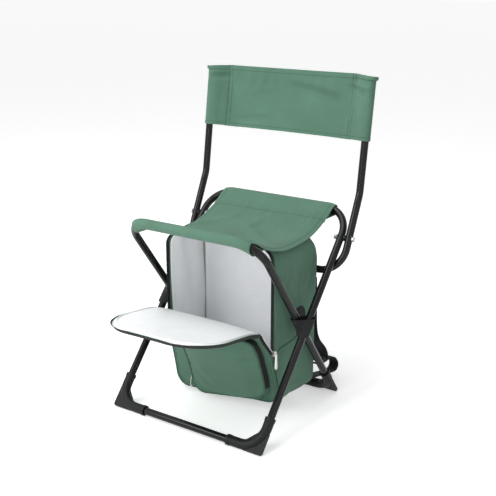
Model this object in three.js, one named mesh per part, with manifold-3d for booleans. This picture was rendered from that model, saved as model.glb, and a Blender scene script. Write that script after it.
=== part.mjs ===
// A folding stool with a backrest and a cooler bag under its seat.
// Millimetres, +Z up, +X to the sitter's left, the front faces -Y, and the floor is Z = 0.
import * as THREE from 'three';
import { mergeVertices } from 'three/addons/utils/BufferGeometryUtils.js';
import Module from 'manifold-3d';

const degrees = (angle) => (angle * Math.PI) / 180;

// Gaps and fineness
const seatGap = 0.3; // between touching faces of neighbouring pieces
const overrun = 5; // how far a cutter reaches past what it cuts
const tubeSides = 14;
const boreSides = 8;
const pinSides = 14;
const bendSteps = 6;

// Steel tube
const tubeDiameter = 16;
const tubeWall = 1.2;
const plugLength = 26; // the drawn-down end that pushes into the next tube
const topBendRadius = 58;
const footBendRadius = 45;

// The two crossed frames
const pivotSetback = 25; // of the pivot behind the middle of the whole
const outerWidth = 366; // between the centre lines of the outer frame's legs
const outerReach = 269.5; // along a leg from the pivot to the bar's centre line
const innerReach = 254.5;
const outerLean = degrees(40.6); // of the outer frame from upright
const seamDistance = 72; // from the pivot down each leg to the joint of its two tubes
const legGap = 2.5; // side gap between an outer and an inner leg

// Plastic feet
const footWall = 2.5;
const footAlongLeg = 66; // from the corner to the sleeve's end, up the leg
const footAlongBar = 75;
const finThickness = 6;
const finCornerRadius = 5;
const footFlat = 0.5; // depth of the flat that the foot stands on

// Pivot rivets and washers
const rivetDiameter = 6;
const rivetHeadDiameter = 12;
const rivetHeadHeight = 2;
const washerDiameter = 14;

// Backrest frame
const backGap = 4; // between each outer leg and the upright beside it
const boltBelowBar = 64.5; // along the outer leg from the rear seat bar to the hinge bolt
const crossbarDrop = 75; // from the bolt to the crossbar's centre line
const crossbarBendRadius = 54;
const lowerUprightLean = degrees(24.5);
const upperUprightLean = degrees(8.1);
const lowerUprightLength = 99; // from the bolt to the kink
const upperUprightLength = 240; // from the kink to the post's top
const kinkRadius = 55;
const capHeadHeight = 3;
const buttonDiameter = 5;
const buttonHeight = 1;
const boltDiameter = 6;
const boltHeadDiameter = 11;
const boltHeadHeight = 3.4;
const spacerDiameter = 13;
const nutWidth = 10;
const nutHeight = 6;

// Backrest cover
const coverHeight = 133;
const coverWall = 1.6;
const sleeveWidth = 53; // from the cover's side edge to its inner seam
const coverSetback = 12; // how far the middle of the cover lies behind the posts
const coverSag = 4;
const coverTop = 2.5; // thickness of the closed top hem

// Seat sling
const seatInset = 18.5; // from each inner leg's centre line to the cloth's edge
const slingThickness = 2.4;
const sleeveWall = 1.8;
const sleeveSlack = 0.9; // between the bar and the sleeve round it
const sagRight = 40; // below the line between the bars
const sagMiddle = 48;
const sagLeft = 52;

// Cooler bag
const bagInset = 27.5; // from each inner leg's centre line to the bag's side, at the front
const bagFlareShare = 0.0932; // of the bag's depth, by which each side spreads to the back
const bagBottom = 23; // on its middle line
const bagTilt = degrees(5.5); // its bottom hangs lower on the sitter's right
const bagFrontShare = 0.3305; // of the way from the pivot forward to the front bar
const bagBackGap = 0.5; // in front of the backrest's crossbar
const bagFootGap = 12; // at least, in front of the rear floor bar
const bagTopRadius = 30;
const bagBottomRadius = 30;
const bagBackRadius = 30; // of the rounded edge between its top and its back
const bagBulge = 3;
const bottomSag = 4;
const panelThickness = 4; // cloth with its foam
const panelGap = 0.8; // at the seams of neighbouring panels
const liningThickness = 1;
const seatClearance = 2; // between the seat's cloth and the bag's top
const openingBottom = 160; // height of the zipper's two lower ends
const toeLine = 22; // how far the front panel stands back at its lower edge

// Front panel, which leans out, and the flap that folds over from its top
const crestHeight = 217;
const crestShare = 0.661; // of the way from the pivot forward to the front bar
const crestInset = 6; // from the bag's side
const crestEdgeDrop = 4;
const flapLength = 184;
const flapInset = 2.3; // from the bag's side
const flapCornerRadius = 89;
const flapCurl = 9.6; // its rise soon after the fold
const flapRise = 13; // its further rise towards the free edge
const flapTwist = -1.7; // the sitter's left-hand corner stands higher by this
const flapCrown = 0.9;
const flapDrift = 6.5; // its free edge lies nearer the sitter's right by this
const flapThickness = 3.5;

// Zippers
const tapeWidth = 9;
const tapeThickness = 1.6;
const sliderWidth = 7;
const sliderLength = 12;
const sliderDepth = 5;
const pullLength = 34;
const pullWidth = 8;
const pullThickness = 1.6;
const pullHoleDiameter = 3.4;

// Pocket on the front panel
const pocketLeftShare = -0.5695; // of the bag's half width
const pocketRightShare = 0.8613;
const pocketLow = 31; // on its own middle line
const pocketHigh = 197;
const pocketDepth = 18;
const pocketWall = 2;
const pocketCornerRadius = 34;
const pocketTilt = degrees(10); // of its lower edge
const pocketTapeWidth = 6;
const pocketSliderScaleShare = 0.7;

// Bands and patches that tie the bag to the pivots
const bandThickness = 1.5;
const bandTopWidth = 44;
const bandBottomWidth = 26;
const bandUp = 13; // above the pivot
const tongueHalf = 5; // half the width of the tongues that pass between the legs
const tongueGap = 5; // between a tongue and the legs beside it
const patchRadius = 30;
const patchThickness = 1.5;
const patchBehind = 24; // of the patch's centre behind the pivot

// Carrying straps and grab handle
const strapWidth = 50;
const strapThickness = 7;
const strapInset = 28; // of the strap's centre line from the bag's side
const strapDrop = 18; // from the backrest's crossbar to the padded strap's top
const strapEnd = 75; // height of its lower end
const strapStandoff = 58;
const strapGap = 0.9; // between a buckle and the strap's or the webbing's end
const webbingWidth = 24;
const webbingThickness = 1.8;
const webbingPast = 84; // of the slack loop behind the rear floor bar
const buckleWidth = 32;
const buckleHeight = 20;
const buckleThickness = 5;
const buckleBar = 3;
const handleHalf = 60;
const handleRise = 26; // above the backrest's crossbar
const handleStandoff = 16;

// Worked out from the above
const tubeRadius = tubeDiameter / 2;
const innerWidth = outerWidth - 2 * (tubeDiameter + legGap);
const barHeight = tubeRadius + footWall - footFlat;
const pivotHeight = barHeight + outerReach * Math.cos(outerLean);
const innerLean = Math.acos((pivotHeight - barHeight) / innerReach);
const plugRadius = tubeRadius - tubeWall - seatGap;
const capRadius = plugRadius - seatGap;
const frontBarY = innerReach * Math.sin(innerLean);
const tongueRoom = tubeRadius / Math.cos(innerLean) + tongueHalf + tongueGap;
const tongueHeight = tongueRoom / Math.tan(innerLean); // above and below the pivot
const seatWidth = innerWidth - 2 * seatInset;
const backWidth = outerWidth + 2 * (tubeDiameter + backGap);
const boltReach = outerReach - boltBelowBar;
const boltY = boltReach * Math.sin(outerLean);
const boltZ = pivotHeight + boltReach * Math.cos(outerLean);
const crossbarY = boltY - crossbarDrop * Math.sin(lowerUprightLean);
const crossbarZ = boltZ - crossbarDrop * Math.cos(lowerUprightLean);
const bagHalf = innerWidth / 2 - bagInset;
const bagFront = -bagFrontShare * frontBarY;
const behindBag = panelThickness + seatGap;
const bagBack = Math.min(
  crossbarY - tubeRadius - behindBag - bagBackGap,
  frontBarY - tubeRadius - footWall - behindBag - bagFootGap,
);
const bagFlare = bagFlareShare * (bagBack - bagFront);
const crestReach = crestShare * frontBarY;
const crestHalfWidth = bagHalf - crestInset;
const flapHalfWidth = bagHalf - flapInset;
const pocketLeft = pocketLeftShare * bagHalf;
const pocketRight = pocketRightShare * bagHalf;
const strapStart = crossbarZ - strapDrop;
const handleHeight = crossbarZ + handleRise;

// Materials
const finish = (color, roughness, metalness = 0) =>
  new THREE.MeshStandardMaterial({ color, roughness, metalness });
const blackEnamel = finish(0x17181a, 0.28, 0.5);
const darkPlastic = finish(0x35373a, 0.55);
const greenCloth = finish(0x64907a, 0.85);
const whiteLining = finish(0xe9ecef, 0.5);
const blackWebbing = finish(0x1b1c1f, 0.8);
const zinc = finish(0xb9bbbd, 0.35, 0.9);
const nickel = finish(0xcdc3b6, 0.35, 0.8);

// Solids for cutting and joining
const wasm = await Module();
wasm.setup();

function solid(geometry) {
  const loose = new THREE.BufferGeometry();
  loose.setAttribute('position', geometry.getAttribute('position'));
  loose.setIndex(geometry.index);
  const welded = mergeVertices(loose, 1e-3);
  return new wasm.Manifold(
    new wasm.Mesh({
      numProp: 3,
      vertProperties: new Float32Array(welded.attributes.position.array),
      triVerts: new Uint32Array(welded.index.array),
    }),
  );
}

function surfaceOf(body) {
  const mesh = body.getMesh();
  const geometry = new THREE.BufferGeometry();
  geometry.setAttribute('position', new THREE.BufferAttribute(mesh.vertProperties, 3));
  geometry.setIndex(new THREE.BufferAttribute(mesh.triVerts, 1));
  return geometry;
}

function cut(geometry, ...cutters) {
  let body = solid(geometry);
  for (const cutter of cutters) body = body.subtract(solid(cutter));
  return surfaceOf(body);
}

function join(geometry, ...others) {
  let body = solid(geometry);
  for (const other of others) body = body.add(solid(other));
  return surfaceOf(body);
}

// Straight runs joined by round bends, with a ring only where the path turns
class BentPath extends THREE.Curve {
  constructor(stations) {
    super();
    this.stations = stations;
  }

  getPoint(t, target = new THREE.Vector3()) {
    const place = t * (this.stations.length - 1);
    const index = Math.min(Math.floor(place), this.stations.length - 2);
    return target.lerpVectors(this.stations[index], this.stations[index + 1], place - index);
  }

  getUtoTmapping(u) {
    return u;
  }
}

function bentPath(corners, radii, steps = bendSteps) {
  const stations = [corners[0]];
  for (let i = 1; i < corners.length - 1; i++) {
    const before = corners[i - 1].clone().sub(corners[i]).normalize();
    const after = corners[i + 1].clone().sub(corners[i]).normalize();
    const half = before.angleTo(after) / 2;
    const radius = radii[i - 1];
    const start = corners[i].clone().addScaledVector(before, radius / Math.tan(half));
    const middle = before.clone().add(after).normalize();
    const centre = corners[i].clone().addScaledVector(middle, radius / Math.sin(half));
    const axis = after.clone().cross(before).normalize();
    for (let step = 0; step <= steps; step++) {
      const spoke = start.clone().sub(centre);
      spoke.applyAxisAngle(axis, ((Math.PI - 2 * half) * step) / steps);
      stations.push(spoke.add(centre));
    }
  }
  stations.push(corners.at(-1));
  return new BentPath(stations);
}

function circle(radius, sides) {
  return Array.from({ length: sides }, (_, i) => {
    const angle = (2 * Math.PI * (i + 0.5)) / sides;
    return new THREE.Vector2(radius * Math.cos(angle), radius * Math.sin(angle));
  });
}

function sweep(path, radius, sides, boreRadius = 0) {
  const section = new THREE.Shape(circle(radius, sides));
  if (boreRadius) section.holes.push(new THREE.Path(circle(boreRadius, boreSides)));
  return new THREE.ExtrudeGeometry(section, {
    steps: path.stations.length - 1,
    extrudePath: path,
  });
}

const tube = (path) => sweep(path, tubeRadius, tubeSides, tubeRadius - tubeWall);

// A pin along X, from one x to another, at a height and depth
function crossPin(radius, fromX, toX, y = 0, z = 0, sides = pinSides) {
  const pin = new THREE.CylinderGeometry(radius, radius, Math.abs(toX - fromX), sides);
  pin.rotateZ(degrees(90));
  return pin.translate((fromX + toX) / 2, y, z);
}

function block(width, depth, height, x = 0, y = 0, z = 0) {
  return new THREE.BoxGeometry(width, depth, height).translate(x, y, z);
}

// A closed slab between two surfaces, each given by two shares, u and v
function slab(front, back, across, along) {
  const positions = [];
  for (const surface of [front, back]) {
    for (let j = 0; j <= along; j++) {
      for (let i = 0; i <= across; i++) {
        positions.push(...surface(i / across, j / along).toArray());
      }
    }
  }
  const row = across + 1;
  const layer = row * (along + 1);
  const faces = [];
  for (let j = 0; j < along; j++) {
    for (let i = 0; i < across; i++) {
      const a = j * row + i;
      const [b, c, d] = [a + 1, a + row + 1, a + row];
      faces.push(a, b, c, a, c, d);
      faces.push(layer + a, layer + c, layer + b, layer + a, layer + d, layer + c);
    }
  }
  const rim = [];
  for (let i = 0; i < across; i++) rim.push(i);
  for (let j = 0; j < along; j++) rim.push(j * row + across);
  for (let i = across; i > 0; i--) rim.push(along * row + i);
  for (let j = along; j > 0; j--) rim.push(j * row);
  rim.forEach((p, k) => {
    const q = rim[(k + 1) % rim.length];
    faces.push(q, p, layer + p, q, layer + p, layer + q);
  });
  const geometry = new THREE.BufferGeometry();
  geometry.setAttribute('position', new THREE.Float32BufferAttribute(positions, 3));
  geometry.setIndex(faces);
  return geometry;
}

// A closed sheet one thickness deep behind a surface
function sheet(surface, across, along, thickness) {
  const nudge = 1e-3;
  const behind = (u, v) => {
    const [ahead, above] = [Math.min(u + nudge, 1), Math.min(v + nudge, 1)];
    const alongU = surface(ahead, v).sub(surface(ahead - nudge, v));
    const alongV = surface(u, above).sub(surface(u, above - nudge));
    const normal = alongU.cross(alongV).normalize();
    return surface(u, v).addScaledVector(normal, -thickness);
  };
  return slab(surface, behind, across, along);
}

// How far a straight edge comes in where a round corner starts
function roundIn(distance, radius) {
  const past = Math.min(radius, Math.max(0, radius - distance));
  return radius - Math.sqrt(radius ** 2 - past ** 2);
}

// Sections with an outline and holes, all in step, skinned one to the next
function loft(sections, flatten = (p) => new THREE.Vector2(p.y, p.z)) {
  const rings = (section) => [section.outline, ...section.holes];
  const positions = sections.flatMap((section) => rings(section).flat());
  const size = rings(sections[0]).flat().length;
  const flat = (points) => points.map(flatten);
  const faces = [];
  let start = 0;
  for (const ring of rings(sections[0])) {
    for (let s = 0; s < sections.length - 1; s++) {
      for (let k = 0; k < ring.length; k++) {
        const a = s * size + start + k;
        const b = s * size + start + ((k + 1) % ring.length);
        faces.push(a, b, b + size, a, b + size, a + size);
      }
    }
    start += ring.length;
  }
  for (const [index, turn] of [[0, true], [sections.length - 1, false]]) {
    const section = sections[index];
    const lid = THREE.ShapeUtils.triangulateShape(flat(section.outline), section.holes.map(flat));
    for (const [a, b, c] of lid) {
      const corners = turn ? [a, c, b] : [a, b, c];
      faces.push(...corners.map((corner) => corner + index * size));
    }
  }
  const geometry = new THREE.BufferGeometry();
  geometry.setFromPoints(positions);
  geometry.setIndex(faces);
  return geometry;
}

// Reads a table of [place share, value share] pairs, with straight lines between them
function along(table, place) {
  const next = Math.max(1, table.findIndex(([at]) => at >= place));
  const [from, low] = table[next - 1];
  const [to, high] = table[next];
  return low + ((high - low) * (place - from)) / (to - from);
}

const model = new THREE.Group();
model.position.y = pivotSetback;
model.updateMatrixWorld(true);
const sides = [['left', -1], ['right', 1]];

function add(group, name, geometry, material) {
  const mesh = new THREE.Mesh(geometry, material);
  mesh.name = name;
  group.add(mesh);
  return mesh;
}

function leaningGroup(x, y, z, angle, parent = model) {
  const group = new THREE.Group();
  group.position.set(x, y, z);
  group.rotation.x = angle;
  parent.add(group);
  group.updateMatrixWorld(true);
  return group;
}

// The crossed frames: each is an upper and a lower bent tube, joined below the pivot
const outerFrame = leaningGroup(0, 0, pivotHeight, -outerLean);
const innerFrame = leaningGroup(0, 0, pivotHeight, innerLean);

function hoopTubes(group, name, width, reach, holes) {
  const half = width / 2;
  const point = (x, z) => new THREE.Vector3(x, 0, z);
  const bends = (radius) => [radius, radius];
  const upperPath = bentPath(
    [point(-half, -seamDistance), point(-half, reach), point(half, reach), point(half, -seamDistance)],
    bends(topBendRadius),
  );
  const lowerEnd = -seamDistance - seatGap;
  const lowerPath = bentPath(
    [point(half, lowerEnd), point(half, -reach), point(-half, -reach), point(-half, lowerEnd)],
    bends(footBendRadius),
  );
  const down = new THREE.Vector3(0, 0, 1);
  const plugs = sides.flatMap(([, side]) => plugParts(point(side * half, lowerEnd), down));
  add(group, `${name}_upper_tube`, cut(tube(upperPath), ...holes), blackEnamel);
  add(group, `${name}_lower_tube`, join(tube(lowerPath), ...plugs), blackEnamel);
}

// A tube's drawn-down end: a short shoulder and the narrower plug beyond it
function plugParts(end, direction) {
  const at = (share) => end.clone().addScaledVector(direction, share * tubeWall);
  const half = tubeWall / 2;
  const shoulder = new BentPath([at(-2), at(-0.25)]);
  const plug = new BentPath([at(-1.5), end.clone().addScaledVector(direction, plugLength)]);
  return [
    sweep(shoulder, tubeRadius - half, boreSides, plugRadius - half),
    sweep(plug, plugRadius, boreSides, plugRadius - tubeWall),
  ];
}

const rivetHole = (half) =>
  crossPin(rivetDiameter / 2 + seatGap, half - tubeDiameter, half + tubeDiameter);
const bothSides = (make) => sides.map(([, side]) => make(side));

const boltHoles = bothSides((side) =>
  crossPin(
    boltDiameter / 2 + seatGap,
    side * (outerWidth / 2 - tubeDiameter),
    side * (outerWidth / 2 + tubeDiameter),
    0,
    boltReach,
  ),
);
hoopTubes(outerFrame, 'outer', outerWidth, outerReach, [
  ...bothSides((side) => rivetHole((side * outerWidth) / 2)),
  ...boltHoles,
]);
hoopTubes(
  innerFrame,
  'inner',
  innerWidth,
  innerReach,
  bothSides((side) => rivetHole((side * innerWidth) / 2)),
);

// A foot is a plastic sleeve round the bend, with a fin that fills the square corner
function foot(group, name, side, width, reach) {
  const half = width / 2;
  const outside = tubeRadius + footWall;
  const point = (x, z) => new THREE.Vector3(side * x, 0, z);
  const route = (extra) =>
    bentPath(
      [
        point(half, -reach + footAlongLeg + extra),
        point(half, -reach),
        point(half - footAlongBar - extra, -reach),
      ],
      [footBendRadius],
    );
  const corner = new THREE.Shape();
  const [edgeX, edgeZ] = [half + outside, -reach - outside];
  corner.moveTo(edgeX - footBendRadius, edgeZ);
  corner.lineTo(edgeX - finCornerRadius, edgeZ);
  corner.quadraticCurveTo(edgeX, edgeZ, edgeX, edgeZ + finCornerRadius);
  corner.lineTo(edgeX, edgeZ + footBendRadius);
  corner.lineTo(half, -reach + footBendRadius);
  corner.lineTo(half - footBendRadius, -reach);
  const fin = new THREE.ExtrudeGeometry(corner, {
    depth: finThickness,
    bevelEnabled: false,
    curveSegments: 3,
  });
  fin.rotateX(degrees(90)).translate(0, finThickness / 2, 0);
  if (side < 0) fin.rotateZ(Math.PI);
  const floor = block(width * 2, width * 2, width, 0, 0, -width / 2);
  floor.applyMatrix4(group.matrixWorld.clone().invert());
  const sleeve = join(sweep(route(0), outside, tubeSides), fin);
  const bore = sweep(route(overrun), tubeRadius + seatGap, tubeSides);
  add(group, name, cut(sleeve, bore, floor), darkPlastic);
}

for (const [word, side] of sides) {
  foot(outerFrame, `foot_front_${word}`, side, outerWidth, outerReach);
  foot(innerFrame, `foot_rear_${word}`, side, innerWidth, innerReach);
}

// Pivot rivets, headed at both ends, with a washer between the legs
function headedPin(name, material, y, z, side, from, to, pinRadius, headRadius, headHeight) {
  const into = headHeight / 2;
  const shank = crossPin(pinRadius, side * (from - into), side * (to + into), y, z);
  const innerHead = crossPin(headRadius, side * (from - headHeight), side * from, y, z);
  const outerHead = crossPin(headRadius, side * to, side * (to + headHeight), y, z);
  add(model, name, join(shank, innerHead, outerHead), material);
}

const rivetFrom = innerWidth / 2 - tubeRadius - seatGap;
const rivetTo = outerWidth / 2 + tubeRadius + seatGap;
for (const [word, side] of sides) {
  headedPin(
    `pivot_rivet_${word}`, zinc, 0, pivotHeight, side,
    rivetFrom, rivetTo, rivetDiameter / 2, rivetHeadDiameter / 2, rivetHeadHeight,
  );
  const washer = cut(
    crossPin(
      washerDiameter / 2,
      side * (innerWidth / 2 + tubeRadius + seatGap),
      side * (outerWidth / 2 - tubeRadius - seatGap),
      0,
      pivotHeight,
    ),
    crossPin(rivetDiameter / 2 + seatGap, 0, side * outerWidth, 0, pivotHeight),
  );
  add(model, `pivot_washer_${word}`, washer, darkPlastic);
}

// Backrest frame: a U tube whose crossbar bears on the back of the outer legs
const backHalf = backWidth / 2;
const backPoint = (side, y, z) => new THREE.Vector3(side * backHalf, y, z);
const kinkY = boltY + lowerUprightLength * Math.sin(lowerUprightLean);
const kinkZ = boltZ + lowerUprightLength * Math.cos(lowerUprightLean);
const kinkRun = kinkRadius * Math.tan((lowerUprightLean - upperUprightLean) / 2);
const socketLength = lowerUprightLength - kinkRun - seatGap;
const socketY = boltY + socketLength * Math.sin(lowerUprightLean);
const socketZ = boltZ + socketLength * Math.cos(lowerUprightLean);
const backTubePath = bentPath(
  [
    backPoint(-1, socketY, socketZ),
    backPoint(-1, crossbarY, crossbarZ),
    backPoint(1, crossbarY, crossbarZ),
    backPoint(1, socketY, socketZ),
  ],
  [crossbarBendRadius, crossbarBendRadius],
);
const backBoltHoles = bothSides((side) =>
  crossPin(
    boltDiameter / 2 + seatGap,
    side * (backHalf - tubeDiameter),
    side * (backHalf + tubeDiameter),
    boltY,
    boltZ,
  ),
);
add(model, 'back_lower_tube', cut(tube(backTubePath), ...backBoltHoles), blackEnamel);

const topY = kinkY + upperUprightLength * Math.sin(upperUprightLean);
const topZ = kinkZ + upperUprightLength * Math.cos(upperUprightLean);
for (const [word, side] of sides) {
  const start = backPoint(side, socketY, socketZ);
  const lift = new THREE.Vector3(0, Math.sin(lowerUprightLean), Math.cos(lowerUprightLean));
  start.addScaledVector(lift, seatGap);
  const postPath = bentPath(
    [start, backPoint(side, kinkY, kinkZ), backPoint(side, topY, topZ)],
    [kinkRadius - seatGap],
    3,
  );
  const plugs = plugParts(start, lift.clone().negate());
  add(model, `back_post_${word}`, join(tube(postPath), ...plugs), blackEnamel);

  // A plastic cap plugs the post's open top
  const post = leaningGroup(side * backHalf, topY, topZ, -upperUprightLean);
  const capStem = new THREE.CylinderGeometry(capRadius, capRadius, tubeRadius, pinSides);
  capStem.rotateX(degrees(90)).translate(0, 0, (capHeadHeight - tubeRadius) / 2);
  const capHead = new THREE.CylinderGeometry(tubeRadius, tubeRadius, capHeadHeight, pinSides);
  capHead.rotateX(degrees(90)).translate(0, 0, capHeadHeight / 2 + seatGap);
  add(post, `post_cap_${word}`, join(capStem, capHead), darkPlastic);

  // A snap button shows on the socket's front, and its stem reaches the plug
  const socket = leaningGroup(side * backHalf, socketY, socketZ, -lowerUprightLean);
  const button = new THREE.CylinderGeometry(
    buttonDiameter / 2, buttonDiameter / 2, tubeWall + buttonHeight, pinSides,
  );
  button.translate(0, -tubeRadius - (buttonHeight - tubeWall) / 2 - seatGap, -plugLength / 2);
  button.translate(0, -tubeWall + seatGap, 0);
  add(socket, `post_button_${word}`, button, zinc);

  // The hinge bolt, its spacer between leg and upright, and its cap nut
  const boltFrom = outerWidth / 2 - tubeRadius - seatGap - nutHeight / 2;
  const boltTo = backHalf + tubeRadius + seatGap;
  const shankTo = boltTo + boltHeadHeight / 2;
  const shank = crossPin(boltDiameter / 2, side * boltFrom, side * shankTo, boltY, boltZ);
  const head = crossPin(
    boltHeadDiameter / 2, side * boltTo, side * (boltTo + boltHeadHeight), boltY, boltZ,
  );
  add(model, `back_bolt_${word}`, join(shank, head), zinc);
  const boltBore = crossPin(boltDiameter / 2 + seatGap, 0, side * outerWidth, boltY, boltZ);
  const spacer = crossPin(
    spacerDiameter / 2,
    side * (outerWidth / 2 + tubeRadius + seatGap),
    side * (backHalf - tubeRadius - seatGap),
    boltY,
    boltZ,
  );
  add(model, `back_spacer_${word}`, cut(spacer, boltBore), darkPlastic);
  const nutFace = outerWidth / 2 - tubeRadius - seatGap;
  const nut = crossPin(
    nutWidth / 2 / Math.cos(degrees(30)), side * nutFace, side * (nutFace - nutHeight), boltY, boltZ, 6,
  );
  const nutBore = crossPin(
    boltDiameter / 2 + seatGap,
    side * (boltFrom - seatGap),
    side * outerWidth,
    boltY,
    boltZ,
  );
  add(model, `back_nut_${word}`, cut(nut, nutBore), zinc);
}

// Backrest cover: a wide flat sleeve over each post and a panel set back between them
const setbackShares = [[0, 0], [0.25, 0.05], [0.5, 0.4], [0.75, 0.8], [1, 1]];
const narrowShares = [[0, 1], [0.25, 0.9], [0.5, 0.62], [0.75, 0.3], [1, 0]];
const postOutside = tubeRadius + sleeveSlack + coverWall;

function coverOutline(wall) {
  // From the post's centre the two layers close to the seam, then run on as the panel
  const radius = tubeRadius + sleeveSlack + coverWall - wall;
  const seam = sleeveWidth - postOutside - 2 * wall;
  const arc = [];
  for (let step = 0; step <= bendSteps; step++) {
    const angle = degrees(-80) + (degrees(160) * step) / bendSteps;
    arc.push([radius * Math.cos(angle), radius * Math.sin(angle)]);
  }
  const taper = (share) => [-seam * share, coverSetback * along(setbackShares, share)];
  return { arc, taper, seam, radius };
}

function coverSection() {
  const outer = coverOutline(0);
  const inner = coverOutline(coverWall);
  const place = (side, [x, y]) => new THREE.Vector2(side * (backHalf + x), y);
  const layer = (outline, share, way, least) => {
    const [x, y] = outline.taper(share);
    return [x, y + way * Math.max(least, outline.radius * along(narrowShares, share))];
  };
  const shares = [0.25, 0.5, 0.75, 1];
  const half = coverWall;
  const halfLoop = (side) => [
    ...[...shares].reverse().map((share) => place(side, layer(outer, share, -1, half))),
    ...outer.arc.map((point) => place(side, point)),
    ...shares.map((share) => place(side, layer(outer, share, 1, half))),
  ];
  const middle = (way) => new THREE.Vector2(0, coverSetback + coverSag + way * half);
  const outline = [
    middle(-1),
    ...halfLoop(1),
    middle(1),
    ...halfLoop(-1).reverse(),
  ];
  const section = new THREE.Shape(outline);
  for (const [, side] of sides) {
    const pocket = [
      ...inner.arc.map((point) => place(side, point)),
      ...[0.25, 0.5].map((share) => place(side, layer(inner, share, 1, half / 2))),
      place(side, inner.taper(0.75)),
      ...[0.5, 0.25].map((share) => place(side, layer(inner, share, -1, half / 2))),
    ];
    section.holes.push(new THREE.Path(pocket));
  }
  return { section, lid: new THREE.Shape(outline) };
}

const { section: coverShape, lid: coverLid } = coverSection();
const coverGroup = leaningGroup(0, topY, topZ, -upperUprightLean);
const coverBody = new THREE.ExtrudeGeometry(coverShape, { depth: coverHeight, bevelEnabled: false });
coverBody.translate(0, 0, -coverHeight);
const coverCap = new THREE.ExtrudeGeometry(coverLid, { depth: coverTop, bevelEnabled: false });
const coverRoom = capHeadHeight + 2 * seatGap;
coverBody.translate(0, 0, coverRoom);
coverCap.translate(0, 0, coverRoom - seatGap);
add(coverGroup, 'backrest_cover', join(coverBody, coverCap), greenCloth);

// Seat sling: one cloth with a sleeve at each end, skinned across the seat's width
const seatPlaces = [0, 0.35, 0.7, 0.76, 0.82, 0.87, 0.92, 0.96, 1]; // shares of its half width
const slingSteps = 8;
const sleeveSteps = 9;
const pocketSides = 12;

function barAt(x, width, reach, lean) {
  const past = Math.max(0, Math.abs(x) - (width / 2 - topBendRadius));
  const centre = Math.sqrt(topBendRadius ** 2 - past ** 2);
  const reachHere = reach - topBendRadius + centre;
  return {
    y: reachHere * Math.sin(lean),
    z: pivotHeight + reachHere * Math.cos(lean),
    lean,
    // How far along the legs a point of the bent bar's section lies from its centre
    offset: (out) => Math.sqrt((topBendRadius + out) ** 2 - past ** 2) - centre,
  };
}

function sleeveRing(bar, clearance, fromAngle, toAngle, steps) {
  const points = [];
  for (let step = 0; step <= steps; step++) {
    const angle = fromAngle + ((toAngle - fromAngle) * step) / steps;
    const turned = angle - (degrees(90) - bar.lean);
    const long = bar.offset((tubeRadius + clearance) * Math.cos(turned));
    const wide = (tubeRadius + clearance) * Math.sin(turned);
    const [cosine, sine] = [Math.sin(bar.lean), Math.cos(bar.lean)];
    points.push([bar.y + long * cosine - wide * sine, bar.z + long * sine + wide * cosine]);
  }
  return points;
}

const hollow = (place) => (1 - Math.abs(2 * place - 1) ** 2.4) * (1.12 - 0.3 * place);

function seatSag(x) {
  const share = (2 * x) / seatWidth;
  const edgeSag = share > 0 ? sagRight : sagLeft;
  return sagMiddle + (edgeSag - sagMiddle) * share ** 2;
}

function seatSection(x) {
  const front = barAt(x, innerWidth, innerReach, -innerLean);
  const rear = barAt(x, outerWidth, outerReach, outerLean);
  const sag = seatSag(x);
  const outside = sleeveSlack + sleeveWall;
  const frontArc = sleeveRing(front, outside, degrees(75), degrees(325), sleeveSteps);
  const rearArc = sleeveRing(rear, outside, degrees(215), degrees(465), sleeveSteps);
  const top = [frontArc[0], rearArc.at(-1)];
  const line = (step, drop) => {
    const place = step / slingSteps;
    const [y, z] = [0, 1].map((k) => top[0][k] + (top[1][k] - top[0][k]) * place);
    return [y, z - sag * hollow(place) - drop];
  };
  const under = [];
  const over = [];
  for (let step = 1; step < slingSteps; step++) {
    under.push(line(step, slingThickness));
    over.unshift(line(step, 0));
  }
  const to3 = ([y, z]) => new THREE.Vector3(x, y, z);
  const hole = (bar) => sleeveRing(bar, sleeveSlack, degrees(360), 0, pocketSides).slice(1).map(to3);
  return {
    outline: [...frontArc, ...under, ...rearArc, ...over].map(to3),
    holes: [hole(front), hole(rear)],
  };
}

const seatStations = [...seatPlaces.slice(1).map((share) => -share).reverse(), ...seatPlaces];
const seatSections = seatStations.map((share) => seatSection((share * seatWidth) / 2));
add(model, 'seat_cover', loft(seatSections), greenCloth);

// The cooler bag hangs under the seat. Its front panel leans out from toe to crest.
const bag = new THREE.Group();
model.add(bag);
const edgeShares = [[0, 0], [0.2, 0.1], [0.4, 0.22], [0.63, 0.38], [0.7, 0.44], [0.9, 0.86], [1, 1]];
const middleShares = [[0, 0], [0.2, 0.08], [0.4, 0.28], [0.63, 0.62], [0.9, 0.94], [1, 1]];
const heightShare = (z) => (z - bagBottom) / (crestHeight - bagBottom);
const toeY = bagFront + toeLine;

function frontY(z, edgeShare) {
  const share = Math.min(1, Math.max(0, heightShare(z)));
  const middle = along(middleShares, share);
  const edge = along(edgeShares, share);
  return toeY + (-crestReach - toeY) * (middle + (edge - middle) * edgeShare);
}

const behindFront = panelThickness + 2 * seatGap;
const sideFront = (z) =>
  z < openingBottom ? Math.max(bagFront, frontY(z, 1) + behindFront) : bagFront;

// The bag's top follows the seat's cloth and rounds over into the back
const seatFront = barAt(0, innerWidth, innerReach, -innerLean);
const seatRear = barAt(0, outerWidth, outerReach, outerLean);

function roofAt(x, y, inset = 0) {
  const place = (y - seatFront.y) / (seatRear.y - seatFront.y);
  const line = seatFront.z + tubeRadius + (seatRear.z - seatFront.z) * place;
  const under = line - seatSag(x) * hollow(place) - slingThickness - seatClearance;
  return under - inset - roundIn(bagBack - inset - y, bagBackRadius - inset);
}

const floorAt = (x) => bagBottom + Math.tan(bagTilt) * x;

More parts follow.
